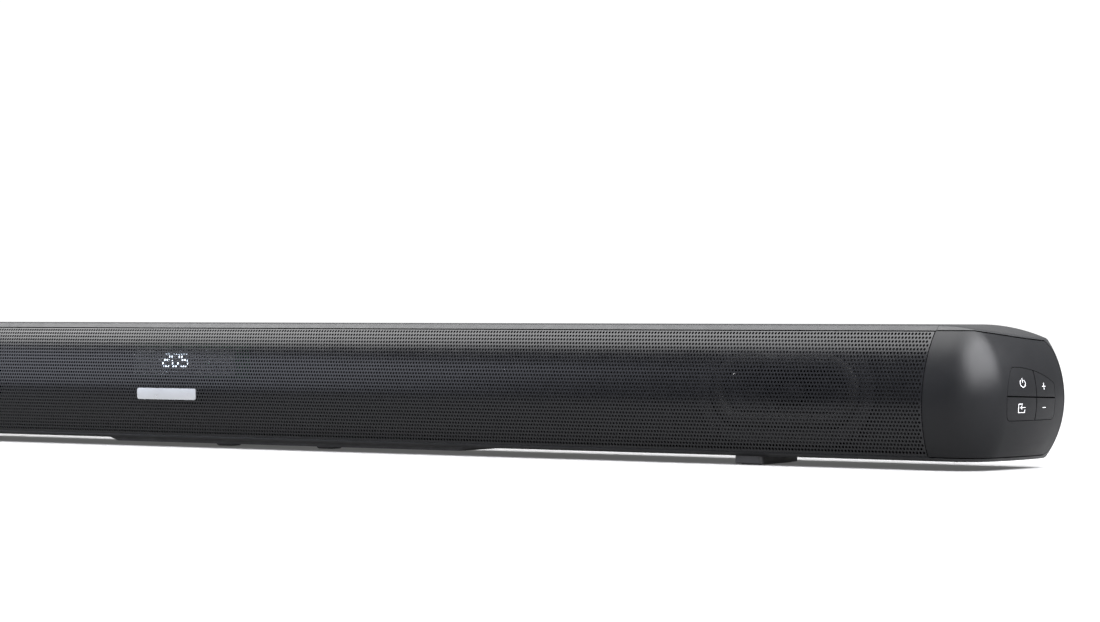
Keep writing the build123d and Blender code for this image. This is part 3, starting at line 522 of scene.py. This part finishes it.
class Workshop:
    """What every sub-assembly needs: dressing CAD parts and adding new pieces."""

    slots = {row["node"]: row["material_slot"] for row in frame["record"]["subparts"]}
    bodies = {name: body for body, names in frame["record"]["behaviour"]["bodies"].items()
              for name in names}

    @classmethod
    def dress(cls, *nodes: str) -> None:
        """Give CAD parts the finish of their slot.

        Args:
            nodes: Names of the parts.
        """
        for name in nodes:
            frame["nodes"][name].material_slots[0].material = PALETTE.get(cls.slots[name])

    @classmethod
    def piece(cls, name: str, mesh: bpy.types.Mesh, finish: str, body: str = MAIN_BODY,
              slot: str | None = None, stands_for: Iterable[str] = ()) -> bpy.types.Object:
        """Add a finished piece to the bar.

        Args:
            name: The piece's name.
            mesh: Its mesh, in place.
            finish: The finish's name.
            body: The body it rides on.
            slot: The record's slot, where it has one; not used.
            stands_for: CAD parts that it replaces.

        Returns:
            The new object.
        """
        mesh.name = name
        mesh.materials.clear()
        mesh.materials.append(PALETTE.get(finish))
        made = bpy.data.objects.new(name, mesh)
        bpy.context.scene.collection.objects.link(made)
        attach(made, body)
        nodes = list(stands_for)
        if nodes:
            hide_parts(*nodes)
        LOG.info("%s: %d faces", name, len(mesh.polygons))
        return made


class NodeTree:
    """A Geometry Nodes tree under construction, with named inputs."""

    def __init__(self, name: str) -> None:
        """Start an empty tree with one geometry output.

        Args:
            name: The tree's name.
        """
        self.tree = bpy.data.node_groups.new(name, "GeometryNodeTree")
        self.tree.interface.new_socket("Geometry", in_out="OUTPUT", socket_type="NodeSocketGeometry")
        self.entry = self.tree.nodes.new("NodeGroupInput")
        self.exit = self.tree.nodes.new("NodeGroupOutput")
        self.identifiers: dict[str, str] = {}

    def input(self, name: str, kind: str) -> bpy.types.NodeSocket:
        """Add a named input.

        Args:
            name: The input's name.
            kind: Float, Int, Object or Material.

        Returns:
            The socket that brings its value into the tree.
        """
        made = self.tree.interface.new_socket(name, in_out="INPUT", socket_type="NodeSocket" + kind)
        self.identifiers[name] = made.identifier
        return self.entry.outputs[name]

    def add(self, kind: str, inputs: dict | None = None, **settings: object) -> bpy.types.Node:
        """Add a node to this tree, as add_node does."""
        return add_node(self.tree, kind, inputs, **settings)

    def math(self, operation: str, first: object, second: object = 0.0,
             third: object = 0.0) -> bpy.types.NodeSocket:
        """A Math node.

        Args:
            operation: Its operation.
            first: Value or socket.
            second: Value or socket.
            third: Value or socket.

        Returns:
            Its result.
        """
        node = self.add("ShaderNodeMath", {0: first, 1: second, 2: third}, operation=operation)
        return node.outputs[0]

    def apply(self, host: bpy.types.Object, values: dict[str, object]) -> bpy.types.Mesh:
        """Run the tree on an object and take the result as a plain mesh.

        Args:
            host: The object that carries the modifier for the moment.
            values: A value for each named input.

        Returns:
            The result.
        """
        modifier = host.modifiers.new("maker", "NODES")
        modifier.node_group = self.tree
        for name, value in values.items():
            modifier[self.identifiers[name]] = value
        graph = bpy.context.evaluated_depsgraph_get()
        graph.update()
        mesh = bpy.data.meshes.new_from_object(host.evaluated_get(graph), depsgraph=graph)
        host.modifiers.remove(modifier)
        return mesh


def mesh_of(points: Sequence[Sequence[float]], faces: Sequence[Sequence[int]], name: str) -> bpy.types.Mesh:
    """A mesh from points and faces.

    Args:
        points: Corner points, in metres.
        faces: Corner indices of each face.
        name: The mesh's name.

    Returns:
        The mesh.
    """
    mesh = bpy.data.meshes.new(name)
    mesh.from_pydata([tuple(point) for point in points], [], [tuple(face) for face in faces])
    mesh.update()
    return mesh


def joined(meshes: Sequence[bpy.types.Mesh], name: str, weld: float = WELD,
           closed: bool = False) -> bpy.types.Mesh:
    """Several meshes as one, welded and shaded smooth up to its sharp edges.

    Args:
        meshes: What to join; they are used up.
        name: The new mesh's name.
        weld: Points nearer than this become one.
        closed: Whether to make the faces of a closed form point outwards.

    Returns:
        The mesh.
    """
    work = bmesh.new()
    for mesh in meshes:
        work.from_mesh(mesh)
    bmesh.ops.remove_doubles(work, verts=work.verts, dist=weld)
    if closed:
        bmesh.ops.recalc_face_normals(work, faces=work.faces)
    for face in work.faces:
        face.smooth = True
    made = bpy.data.meshes.new(name)
    work.to_mesh(made)
    work.free()
    for mesh in meshes:
        bpy.data.meshes.remove(mesh)
    made.set_sharp_from_angle(angle=SMOOTH_ANGLE)
    return made


# ---------------------------------------------------------------- the bow


@dataclass(frozen=True)
class Bow:
    """The arc that the front of the bar follows, leaning back a little."""

    radius: float = 45.0 * MM
    height: float = 28.65 * MM
    rise: float = 0.055
    front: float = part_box("front_grille")[0].y

    def plain_depth(self, z: float, inset: float) -> float:
        """Depth of the arc before it leans."""
        reach = (self.radius - inset) ** 2 - (z - self.height) ** 2
        return self.radius - math.sqrt(max(reach, 0.0))

    def depth(self, z: float, inset: float = 0.0) -> float:
        """Depth of the leaning arc behind its front line.

        Args:
            z: Height above the floor.
            inset: Distance inside the outer skin.

        Returns:
            The depth, in metres.
        """
        found = 0.0
        for _ in range(4):
            found = self.plain_depth(z - self.rise * found, inset)
        return found

    def point(self, x: float, z: float, inset: float = 0.0) -> tuple[float, float, float]:
        """A point on the skin, or inside it."""
        return x, self.front + self.depth(z, inset), z


# ---------------------------------------------------------------- sub-assemblies


@dataclass(frozen=True)
class Grille:
    """The perforated front sheet, with folded lips at its top and bottom."""

    bow: Bow = Bow()
    pitch: float = 1.7 * MM
    hole: float = 0.62 * MM
    sheet: float = 0.3 * MM
    rows: int = 32
    columns: int = 509
    first_row: float = 60.6 * MM
    hole_sides: int = 8
    spans: int = 4
    lip: float = 4.0 * MM

    @property
    def half(self) -> float:
        """Half the width of the sheet."""
        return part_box("front_grille")[1].x

    @property
    def start(self) -> float:
        """Left edge of the first cell."""
        return -self.columns * self.pitch / 2

    def cell(self) -> bpy.types.Object:
        """One square of sheet with a round hole, flat and at the origin.

        Returns:
            The template object, which is removed once the grille is made.
        """
        edge = self.pitch / 2
        border = [(edge, -edge), (edge, edge), (0, edge), (-edge, edge), (-edge, -edge), (0, -edge)]
        sides, corners = self.hole_sides, len(border)
        turns = [2 * math.pi * k / sides for k in range(sides)]
        ring = [(self.hole * math.cos(turn), self.hole * math.sin(turn)) for turn in turns]
        sectors = [(7, 0, 0), (1, 1, None), (2, 2, None), (3, 3, 4), (5, 4, None), (6, 5, None)]
        points: list[tuple[float, float, float]] = []
        for y in (0.0, self.sheet):
            points += [(x, y, z) for x, z in border + ring]
        back = corners + sides
        faces = []
        for ring_from, border_from, ring_mid in sectors:
            outer = [border_from, (border_from + 1) % corners]
            steps = 2 if ring_mid is not None else 1
            front = outer + [corners + (ring_from + k) % sides for k in range(steps, -1, -1)]
            faces.append(front)
            faces.append([back + k for k in reversed(front)])
        for k in range(sides):
            this, following = corners + k, corners + (k + 1) % sides
            faces.append([following, this, back + this, back + following])
        mesh = mesh_of(points, faces, "hole_cell")
        template = bpy.data.objects.new("hole_cell", mesh)
        bpy.context.scene.collection.objects.link(template)
        return template

    def tree(self) -> NodeTree:
        """The tree that sets out the holes and bends the sheet.

        Returns:
            The tree, with its inputs.
        """
        nodes = NodeTree("perforated_sheet")
        cell = nodes.input("Cell", "Object")
        material = nodes.input("Material", "Material")
        columns, rows = nodes.input("Columns", "Int"), nodes.input("Rows", "Int")
        pitch, left = nodes.input("Pitch", "Float"), nodes.input("Left", "Float")
        top, radius = nodes.input("Top row", "Float"), nodes.input("Bow radius", "Float")
        height, rise = nodes.input("Bow height", "Float"), nodes.input("Rise", "Float")
        front = nodes.input("Front", "Float")
        index = nodes.add("GeometryNodeInputIndex").outputs[0]
        row = nodes.math("MODULO", index, rows)
        column = nodes.math("FLOOR", nodes.math("DIVIDE", index, rows))
        shift = nodes.math("MULTIPLY", nodes.math("MODULO", row, 2.0), 0.5)
        steps = nodes.math("ADD", nodes.math("ADD", column, shift), 0.5)
        place = nodes.add("ShaderNodeCombineXYZ", {
            "X": nodes.math("MULTIPLY_ADD", steps, pitch, left),
            "Z": nodes.math("SUBTRACT", top, nodes.math("MULTIPLY", row, pitch)),
        }).outputs[0]
        count = nodes.math("MULTIPLY", columns, rows)
        spots = nodes.add("GeometryNodePoints", {"Count": count, "Position": place}).outputs[0]
        template = nodes.add("GeometryNodeObjectInfo", {"Object": cell}).outputs["Geometry"]
        copies = nodes.add("GeometryNodeInstanceOnPoints", {"Points": spots, "Instance": template})
        flat = nodes.add("GeometryNodeRealizeInstances", {0: copies.outputs[0]}).outputs[0]
        where = nodes.add("ShaderNodeSeparateXYZ", {0: nodes.add("GeometryNodeInputPosition").outputs[0]})
        inside = nodes.math("SUBTRACT", radius, where.outputs[1])
        inside = nodes.math("MULTIPLY", inside, inside)
        depth: object = 0.0
        for _ in range(3):
            level = nodes.math("SUBTRACT", where.outputs[2], nodes.math("MULTIPLY", depth, rise))
            level = nodes.math("SUBTRACT", level, height)
            reach = nodes.math("SUBTRACT", inside, nodes.math("MULTIPLY", level, level))
            depth = nodes.math("SUBTRACT", radius, nodes.math("SQRT", reach))
        bent = nodes.add("ShaderNodeCombineXYZ", {
            "X": where.outputs[0], "Y": nodes.math("ADD", depth, front), "Z": where.outputs[2],
        }).outputs[0]
        sheet = nodes.add("GeometryNodeSetPosition", {"Geometry": flat, "Position": bent}).outputs[0]
        last = nodes.add("GeometryNodeSetMaterial", {"Geometry": sheet, "Material": material})
        nodes.tree.links.new(last.outputs[0], nodes.exit.inputs[0])
        return nodes

    def lip_strip(self, left: float, right: float, top: bool) -> bpy.types.Mesh:
        """The plain edge beyond the last row, folded back into the bar.

        Args:
            left: Where the strip starts.
            right: Where it ends.
            top: Whether it is the top edge or the bottom one.

        Returns:
            The strip.
        """
        low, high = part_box("front_grille")[0].z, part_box("front_grille")[1].z
        sign = 1 if top else -1
        start = self.first_row + self.pitch / 2 if top else self.first_row - (self.rows - 0.5) * self.pitch
        edge = high if top else low
        fold = edge - sign * self.sheet
        corner = self.bow.depth(edge) + self.bow.front
        rear = corner + self.lip
        profile = [
            (self.bow.point(0, start)[1], start), (corner, edge), (rear, edge), (rear, fold),
            (self.bow.point(0, fold, self.sheet)[1], fold), (self.bow.point(0, start, self.sheet)[1], start),
        ]
        if (top and fold > start) or (not top and fold < start):
            profile[4] = (profile[4][0], fold)
        count = max(1, round((right - left) / (self.pitch / 2)))
        points, faces = [], []
        for step in range(count + 1):
            x = left + (right - left) * step / count
            points += [(x, y, z) for y, z in profile]
        size = len(profile)
        for step in range(count):
            for k in range(size - 1):
                corners = [step * size + k, (step + 1) * size + k,
                           (step + 1) * size + k + 1, step * size + k + 1]
                faces.append(corners if top else corners[::-1])
        return mesh_of(points, faces, "lip")

    def side_strip(self, side: Side) -> bpy.types.Mesh:
        """The plain edge beyond the last hole of each row.

        Args:
            side: Which end of the sheet.

        Returns:
            The strip.
        """
        points, faces = [], []
        outer = side.value * self.half
        for row in range(self.rows):
            shift = 0.5 * self.pitch if row % 2 else 0.0
            inner = (self.start + shift) if side is Side.LEFT else (-self.start + shift)
            high = self.first_row + self.pitch / 2 - row * self.pitch
            low = high - self.pitch
            base = len(points)
            for inset in (0.0, self.sheet):
                points += [self.bow.point(x, z, inset) for x, z in
                           ((inner, high), (inner, low), (outer, low), (outer, high))]
            front = [0, 3, 2, 1] if side is Side.RIGHT else [0, 1, 2, 3]
            front = [base + k for k in reversed(front)]
            faces.append(front)
            faces.append([k + 4 for k in reversed(front)])
            rim = [2, 3, 7, 6] if side is Side.RIGHT else [3, 2, 6, 7]
            faces.append([base + k for k in rim])
        return mesh_of(points, faces, "side_strip")

    def build(self) -> None:
        """Make the sheet in spans and put it in place of the plain one."""
        template = self.cell()
        tree = self.tree()
        host = bpy.data.objects.new("sheet_host", bpy.data.meshes.new("sheet_host"))
        bpy.context.scene.collection.objects.link(host)
        share = self.columns // self.spans
        for span in range(self.spans):
            first = span * share
            count = share if span < self.spans - 1 else self.columns - first
            left = self.start + first * self.pitch
            right = left + count * self.pitch
            field = tree.apply(host, {
                "Cell": template, "Material": PALETTE.get("grille_paint"), "Columns": count,
                "Rows": self.rows, "Pitch": self.pitch, "Left": left, "Top row": self.first_row,
                "Bow radius": self.bow.radius, "Bow height": self.bow.height, "Rise": self.bow.rise,
                "Front": self.bow.front,
            })
            parts = [field]
            ends = (-self.half if span == 0 else left, self.half if span == self.spans - 1 else right)
            parts += [self.lip_strip(*ends, top=True), self.lip_strip(*ends, top=False)]
            if span == 0:
                parts.append(self.side_strip(Side.LEFT))
            if span == self.spans - 1:
                parts.append(self.side_strip(Side.RIGHT))
            mesh = joined(parts, f"grille_span_{span + 1}")
            Workshop.piece(mesh.name, mesh, "grille_paint", slot="grille_paint",
                           stands_for=["front_grille"])
        for spare in (template, host):
            bpy.data.objects.remove(spare)


@dataclass(frozen=True)
class Badge:
    """The blank satin plate on the grille."""

    nodes: tuple[str, ...] = ("grille_badge",)

    def build(self) -> None:
        """Dress the plate."""
        Workshop.dress(*self.nodes)


@dataclass(frozen=True)
class Ends:
    """Both ends of the bar: smooth front cap and grained rear housing."""

    parts: tuple[str, ...] = ("end_cap", "end_housing")

    def build(self) -> None:
        """Dress caps and housings."""
        for side in Side:
            Workshop.dress(*(f"{part}_{side.suffix}" for part in self.parts))


@dataclass(frozen=True)
class Mark:
    """A printed sign made of strokes, drawn in depth and height."""

    strokes: tuple[tuple[Point, ...], ...]
    line: float = 0.24 * MM
    ink: float = 0.03 * MM
    step: float = 0.25 * MM

    def fine(self, stroke: Sequence[Point]) -> list[Point]:
        """Put extra points along a stroke, so that it can follow a curved key.

        Args:
            stroke: Points along its middle.

        Returns:
            The points with others between them, no further apart than the step.
        """
        points = [tuple(stroke[0])]
        for start, end in zip(stroke[:-1], stroke[1:]):
            count = max(1, math.ceil(math.dist(start, end) / self.step))
            points += [tuple(Vector(start).lerp(Vector(end), k / count)) for k in range(1, count + 1)]
        return points

    def outline(self, stroke: Sequence[Point]) -> tuple[list[Point], list[Point]]:
        """The two sides of a stroke.

        Args:
            stroke: Points along its middle.

        Returns:
            Points along its left and right sides.
        """
        left, right = [], []
        for index, (a, b) in enumerate(stroke):
            before = stroke[max(index - 1, 0)]
            after = stroke[min(index + 1, len(stroke) - 1)]
            run = Vector((after[0] - before[0], after[1] - before[1])).normalized()
            cross = Vector((-run.y, run.x)) * self.line / 2
            left.append((a + cross.x, b + cross.y))
            right.append((a - cross.x, b - cross.y))
        return left, right

    def on_surface(self, tree: BVHTree, name: str) -> bpy.types.Mesh:
        """Lay the sign on the outside of a key.

        Args:
            tree: The key's surface.
            name: The mesh's name.

        Returns:
            The sign as a thin closed slab.
        """
        points, faces = [], []
        for stroke in self.strokes:
            left, right = self.outline(self.fine(stroke))
            base = len(points)
            for a, b in zip(left, right):
                for y, z in (a, b):
                    hit = tree.ray_cast(Vector((1.0, y, z)), Vector((-1, 0, 0)))[0]
                    x = hit.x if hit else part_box("end_cap_right")[1].x
                    points += [(x + self.ink, y, z), (x - self.ink, y, z)]
            for k in range(len(left) - 1):
                here, there = base + 4 * k, base + 4 * (k + 1)
                faces += [(here, there, there + 2, here + 2), (here + 1, here + 3, there + 3, there + 1),
                          (here, here + 1, there + 1, there), (here + 2, there + 2, there + 3, here + 3)]
            last = base + 4 * (len(left) - 1)
            faces += [(base, base + 2, base + 3, base + 1), (last, last + 1, last + 3, last + 2)]
        return joined([mesh_of(points, faces, name)], name, FINE_WELD, closed=True)


@dataclass(frozen=True)
class Keys:
    """Four keys in the right end, each with its printed sign."""

    front: float = Bow().front
    size: float = 2.1 * MM
    ring: float = 0.82
    ring_gap: float = 32.0
    ring_steps: int = 28
    arm: float = 0.62
    upright: float = 0.72
    centres: tuple[tuple[str, float, float], ...] = (
        ("power_button", 28.1 * MM, 38.8 * MM), ("source_button", 26.3 * MM, 27.8 * MM),
        ("volume_up_button", 43.2 * MM, 37.2 * MM), ("volume_down_button", 42.9 * MM, 27.8 * MM),
    )

    @staticmethod
    def arc(a: float, b: float, radius: float, first: float, last: float, steps: int) -> tuple[Point, ...]:
        """Points along an arc, with angles in degrees from the top.

        Args:
            a: Depth of the centre.
            b: Height of the centre.
            radius: Radius of the arc.
            first: First angle.
            last: Last angle.
            steps: Number of steps.

        Returns:
            The points.
        """
        angles = [math.radians(first + (last - first) * k / steps) for k in range(steps + 1)]
        return tuple((a + radius * math.sin(t), b + radius * math.cos(t)) for t in angles)

    def strokes(self, name: str, a: float, b: float) -> tuple[tuple[Point, ...], ...]:
        """The strokes of a key's sign.

        Args:
            name: The key.
            a: Depth of the sign's middle.
            b: Height of the sign's middle.

        Returns:
            The strokes.
        """
        s = self.size
        if name == "power_button":
            ring = self.arc(a, b, s * self.ring, self.ring_gap, 360 - self.ring_gap, self.ring_steps)
            return ring, ((a, b + s * 0.15), (a, b + s * 1.08))
        if name == "source_button":
            box = tuple((a + x * s, b + z * s) for x, z in (
                (0.3, 0.9), (-1.0, 0.9), (-1.0, -0.9), (1.0, -0.9), (1.0, -0.25)))
            shaft = tuple((a + x * s, b + z * s) for x, z in ((1.15, 0.15), (-0.3, 0.15)))
            head = tuple((a + x * s, b + z * s) for x, z in ((0.12, 0.52), (-0.36, 0.15), (0.12, -0.22)))
            return self.cornered(box) + (shaft,) + self.cornered(head)
        level = ((a - s * self.arm, b), (a + s * self.arm, b))
        if name == "volume_up_button":
            return level, ((a, b - s * self.upright), (a, b + s * self.upright))
        return (level,)

    @staticmethod
    def cornered(points: tuple[Point, ...]) -> tuple[tuple[Point, ...], ...]:
        """Each straight run of a bent line as a stroke of its own."""
        return tuple(zip(points[:-1], points[1:]))

    def build(self) -> None:
        """Dress the keys and print their signs."""
        for name, depth, height in self.centres:
            Workshop.dress(name)
            key = frame["nodes"][name].data
            surface = BVHTree.FromPolygons([vertex.co for vertex in key.vertices],
                                           [tuple(face.vertices) for face in key.polygons])
            mark = Mark(self.strokes(name, self.front + depth, height))
            mesh = mark.on_surface(surface, name.replace("button", "sign"))
            # the sign's material adds a painted glow to the white print
            Workshop.piece(mesh.name, mesh, "white_print", body=Workshop.bodies[name])


@dataclass(frozen=True)
class Display:
    """Three slanted lit characters behind the grille, with lens, receiver and board."""

    left: float = -9.6 * MM
    low: float = 42.1 * MM
    width: float = 4.2 * MM
    height: float = 6.6 * MM
    step: float = 5.9 * MM
    bar: float = 0.9 * MM
    slant: float = 0.14
    mitre: float = 0.35
    point: float = 0.5
    layer: tuple[float, float] = (0.1 * MM, 0.4 * MM)
    weld: float = 0.0001 * MM
    digits: tuple[str, ...] = ("abged", "abcdef", "afgcd")
    nodes: tuple[str, ...] = ("display_window", "display_module", "display_board", "infrared_receiver")

    def segments(self) -> dict[str, tuple[Point, Point]]:
        """Ends of the seven bars of a character, from its lower left corner."""
        w, h = self.width, self.height
        return {
            "a": ((0, h), (w, h)), "b": ((w, h), (w, h / 2)), "c": ((w, h / 2), (w, 0)),
            "d": ((0, 0), (w, 0)), "e": ((0, h / 2), (0, 0)), "f": ((0, h), (0, h / 2)),
            "g": ((0, h / 2), (w, h / 2)),
        }

    def bar_faces(self, start: Point, end: Point, origin: Point, base: int
                  ) -> tuple[list[tuple[float, float, float]], list[list[int]]]:
        """One bar with pointed ends.

        Args:
            start: One end, within the character.
            end: The other end.
            origin: The character's lower left corner.
            base: Index of the bar's first point in the mesh.

        Returns:
            Its points and faces.
        """
        a, b = Vector(start), Vector(end)
        run = (b - a).normalized()
        cross = Vector((-run.y, run.x)) * self.bar / 2
        gap = run * self.bar * self.mitre
        tip = run * self.bar * self.point
        shape = [a + gap, a + gap + tip + cross, b - gap - tip + cross, b - gap,
                 b - gap - tip - cross, a + gap + tip - cross]
        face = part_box("display_module")[0].y
        points = []
        for level in self.layer:
            points += [(origin[0] + p.x + self.slant * p.y, face + level, origin[1] + p.y) for p in shape]
        size = len(shape)
        back = base + size
        faces = [[base + k for k in range(size)], [back + k for k in reversed(range(size))]]
        faces += [[base + k, back + k, back + (k + 1) % size, base + (k + 1) % size] for k in range(size)]
        return points, faces

    def build(self) -> None:
        """Dress the parts and light the characters."""
        Workshop.dress(*self.nodes)
        points: list[tuple[float, float, float]] = []
        faces: list[list[int]] = []
        for number, lit in enumerate(self.digits):
            origin = (self.left + number * self.step, self.low)
            for name in lit:
                more, sides = self.bar_faces(*self.segments()[name], origin, len(points))
                points += more
                faces += sides
        mesh = joined([mesh_of(points, faces, "display_digits")], "display_digits", self.weld, closed=True)
        Workshop.piece(mesh.name, mesh, "lit_segment")


@dataclass(frozen=True)
class Casing:
    """Rear shell, baffle and chamber walls."""

    nodes: tuple[str, ...] = ("rear_cabinet", "front_baffle", "chamber_wall_left", "chamber_wall_right",
                              "bottom_cover")

    def build(self) -> None:
        """Dress the parts."""
        Workshop.dress(*self.nodes)


@dataclass(frozen=True)
class DriveUnit:
    """One racetrack drive unit."""

    side: Side
    parts: tuple[str, ...] = ("driver_frame", "driver_gasket", "driver_surround", "driver_cone",
                              "driver_dust_cap", "driver_magnet")

    def build(self) -> None:
        """Dress the unit's parts."""
        Workshop.dress(*(f"{part}_{self.side.suffix}" for part in self.parts))


@dataclass(frozen=True)
class Electronics:
    """Boards, supply, sockets, button electronics and wires."""

    nodes: tuple[str, ...] = (
        "main_board", "radio_module", "power_board", "transformer", "capacitors", "heatsink",
        "socket_panel", "hdmi_socket", "optical_socket", "usb_socket", "aux_socket", "power_inlet",
        "button_carrier", "button_board", "button_switches", "button_cable", "speaker_wire_left",
        "speaker_wire_right",
    )

    def build(self) -> None:
        """Dress the parts."""
        Workshop.dress(*self.nodes)


@dataclass(frozen=True)
class Fittings:
    """Feet, pads, hanging plates and screws."""

    paired: tuple[str, ...] = ("foot", "foot_pad", "keyhole_plate")
    screws: tuple[str, ...] = ("cabinet_screws", "cover_screws", "driver_screws", "board_screws",
                               "plate_screws")

    def build(self) -> None:
        """Dress the parts."""
        for side in Side:
            Workshop.dress(*(f"{part}_{side.suffix}" for part in self.paired))
        Workshop.dress(*self.screws)


# ---------------------------------------------------------------- studio


@dataclass(frozen=True)
class Lamp:
    """A rectangular soft light."""

    name: str
    place: tuple[float, float, float]
    aim: tuple[float, float, float]
    size: tuple[float, float]
    radiance: float
    colour: Colour = (1.0, 1.0, 1.0)

    def build(self) -> None:
        """Hang the light, out of the camera's sight."""
        data = bpy.data.lights.new(self.name, "AREA")
        data.shape = "RECTANGLE"
        data.size, data.size_y = self.size
        data.energy = self.radiance * math.pi * self.size[0] * self.size[1]
        data.color = self.colour
        lamp = bpy.data.objects.new(self.name, data)
        lamp.location = self.place
        lamp.rotation_euler = (Vector(self.aim) - Vector(self.place)).to_track_quat("-Z", "Y").to_euler()
        lamp.visible_camera = False
        bpy.context.scene.collection.objects.link(lamp)


@dataclass(frozen=True)
class Studio:
    """White floor, soft lights and the camera."""

    camera_place: tuple[float, float, float] = (1.0368, -1.2488, 0.0708)
    camera_turn: float = 33.28
    lens: float = 100.0
    seen: float = 1.05
    dim: float = 0.04
    bright: float = 0.5
    turnover: float = 0.35
    floor_size: float = 14.0
    floor_drop: float = 0.05 * MM
    floor_low: Colour = (0.215, 0.215, 0.215)
    floor_high: Colour = (0.22, 0.22, 0.22)
    glow: tuple[float, float] = (0.10, 1.0)
    glow_reach: tuple[float, float] = (0.62, 1.6)
    lamps: tuple[Lamp, ...] = (
        Lamp("overhead", (-0.35, -0.15, 1.5), (-0.35, -0.1499, 0.0), (3.2, 1.22), 9.0),
        Lamp("front_left", (-1.35, -1.05, 0.72), (0.0, -0.012, 0.72), (1.35, 1.16), 4.4, (0.84, 0.87, 1.0)),
        Lamp("right_front", (1.8, -0.53, 1.7), (0.46, 0.0, 0.04), (2.7, 1.8), 24.0, (0.97, 0.97, 1.0)),
    )

    def floor(self) -> None:
        """Lay a large pale sheet that stays white out to the horizon."""
        half = self.floor_size
        corners = [(x * half, y * half, -self.floor_drop) for x, y in ((-1, -1), (1, -1), (1, 1), (-1, 1))]
        mesh = mesh_of(corners, [(0, 1, 2, 3)], "floor")
        shader = Shader("studio_white")
        shader.wire("Base Color", shader.blend(shader.noise(0.4), self.floor_low, self.floor_high))
        shader.wire("Roughness", shader.spread(shader.noise(0.2), 0.85, 0.95))
        far = shader.add("ShaderNodeVectorMath", {0: shader.place}, operation="LENGTH").outputs["Value"]
        shader.constant(emission_color=(1.0, 1.0, 1.0), specular_ior_level=0.1)
        shader.wire("Emission Strength", shader.spread(far, *self.glow, *self.glow_reach))
        mesh.materials.append(shader.material)
        made = bpy.data.objects.new("floor", mesh)
        bpy.context.scene.collection.objects.link(made)

    def world(self) -> None:
        """White to look at; for the bar's reflections bright behind it and dim in front."""
        world = bpy.data.worlds.new("studio")
        bpy.context.scene.world = world
        world.use_nodes = True
        tree = world.node_tree
        tree.nodes.clear()
        white = (1.0, 1.0, 1.0, 1.0)
        direction = add_node(tree, "ShaderNodeTexCoord").outputs["Generated"]
        ahead = add_node(tree, "ShaderNodeSeparateXYZ", {0: direction}).outputs["Y"]
        ramp = add_node(tree, "ShaderNodeMapRange", {
            0: ahead, 1: -self.turnover, 2: self.turnover, 3: self.dim, 4: self.bright,
        }).outputs[0]
        fill = add_node(tree, "ShaderNodeBackground", {0: white, 1: ramp}).outputs[0]
        seen = add_node(tree, "ShaderNodeBackground", {0: white, 1: self.seen}).outputs[0]
        direct = add_node(tree, "ShaderNodeLightPath").outputs["Is Camera Ray"]
        mixed = add_node(tree, "ShaderNodeMixShader", {0: direct, 1: fill, 2: seen}).outputs[0]
        add_node(tree, "ShaderNodeOutputWorld", {0: mixed})

    def camera(self) -> None:
        """Place the camera, level and turned towards the right end."""
        data = bpy.data.cameras.new("camera")
        data.lens = self.lens
        data.sensor_width = 36.0
        data.clip_start, data.clip_end = 0.01, 50.0
        made = bpy.data.objects.new("camera", data)
        made.location = self.camera_place
        made.rotation_euler = (math.radians(90), 0.0, math.radians(self.camera_turn))
        bpy.context.scene.collection.objects.link(made)
        bpy.context.scene.camera = made

    def build(self) -> None:
        """Set up the whole studio."""
        self.floor()
        self.world()
        self.camera()
        for lamp in self.lamps:
            lamp.build()
        bpy.context.scene.view_settings.view_transform = "Standard"


def main() -> None:
    """Build every sub-assembly in order."""
    logging.basicConfig(level=logging.INFO, format="%(name)s %(message)s")
    for assembly in (Grille(), Badge(), Ends(), Keys(), Display(), Casing(), DriveUnit(Side.LEFT),
                     DriveUnit(Side.RIGHT), Electronics(), Fittings(), Studio()):
        assembly.build()
        LOG.info("%s done", type(assembly).__name__)


if __name__ == "__main__":
    main()
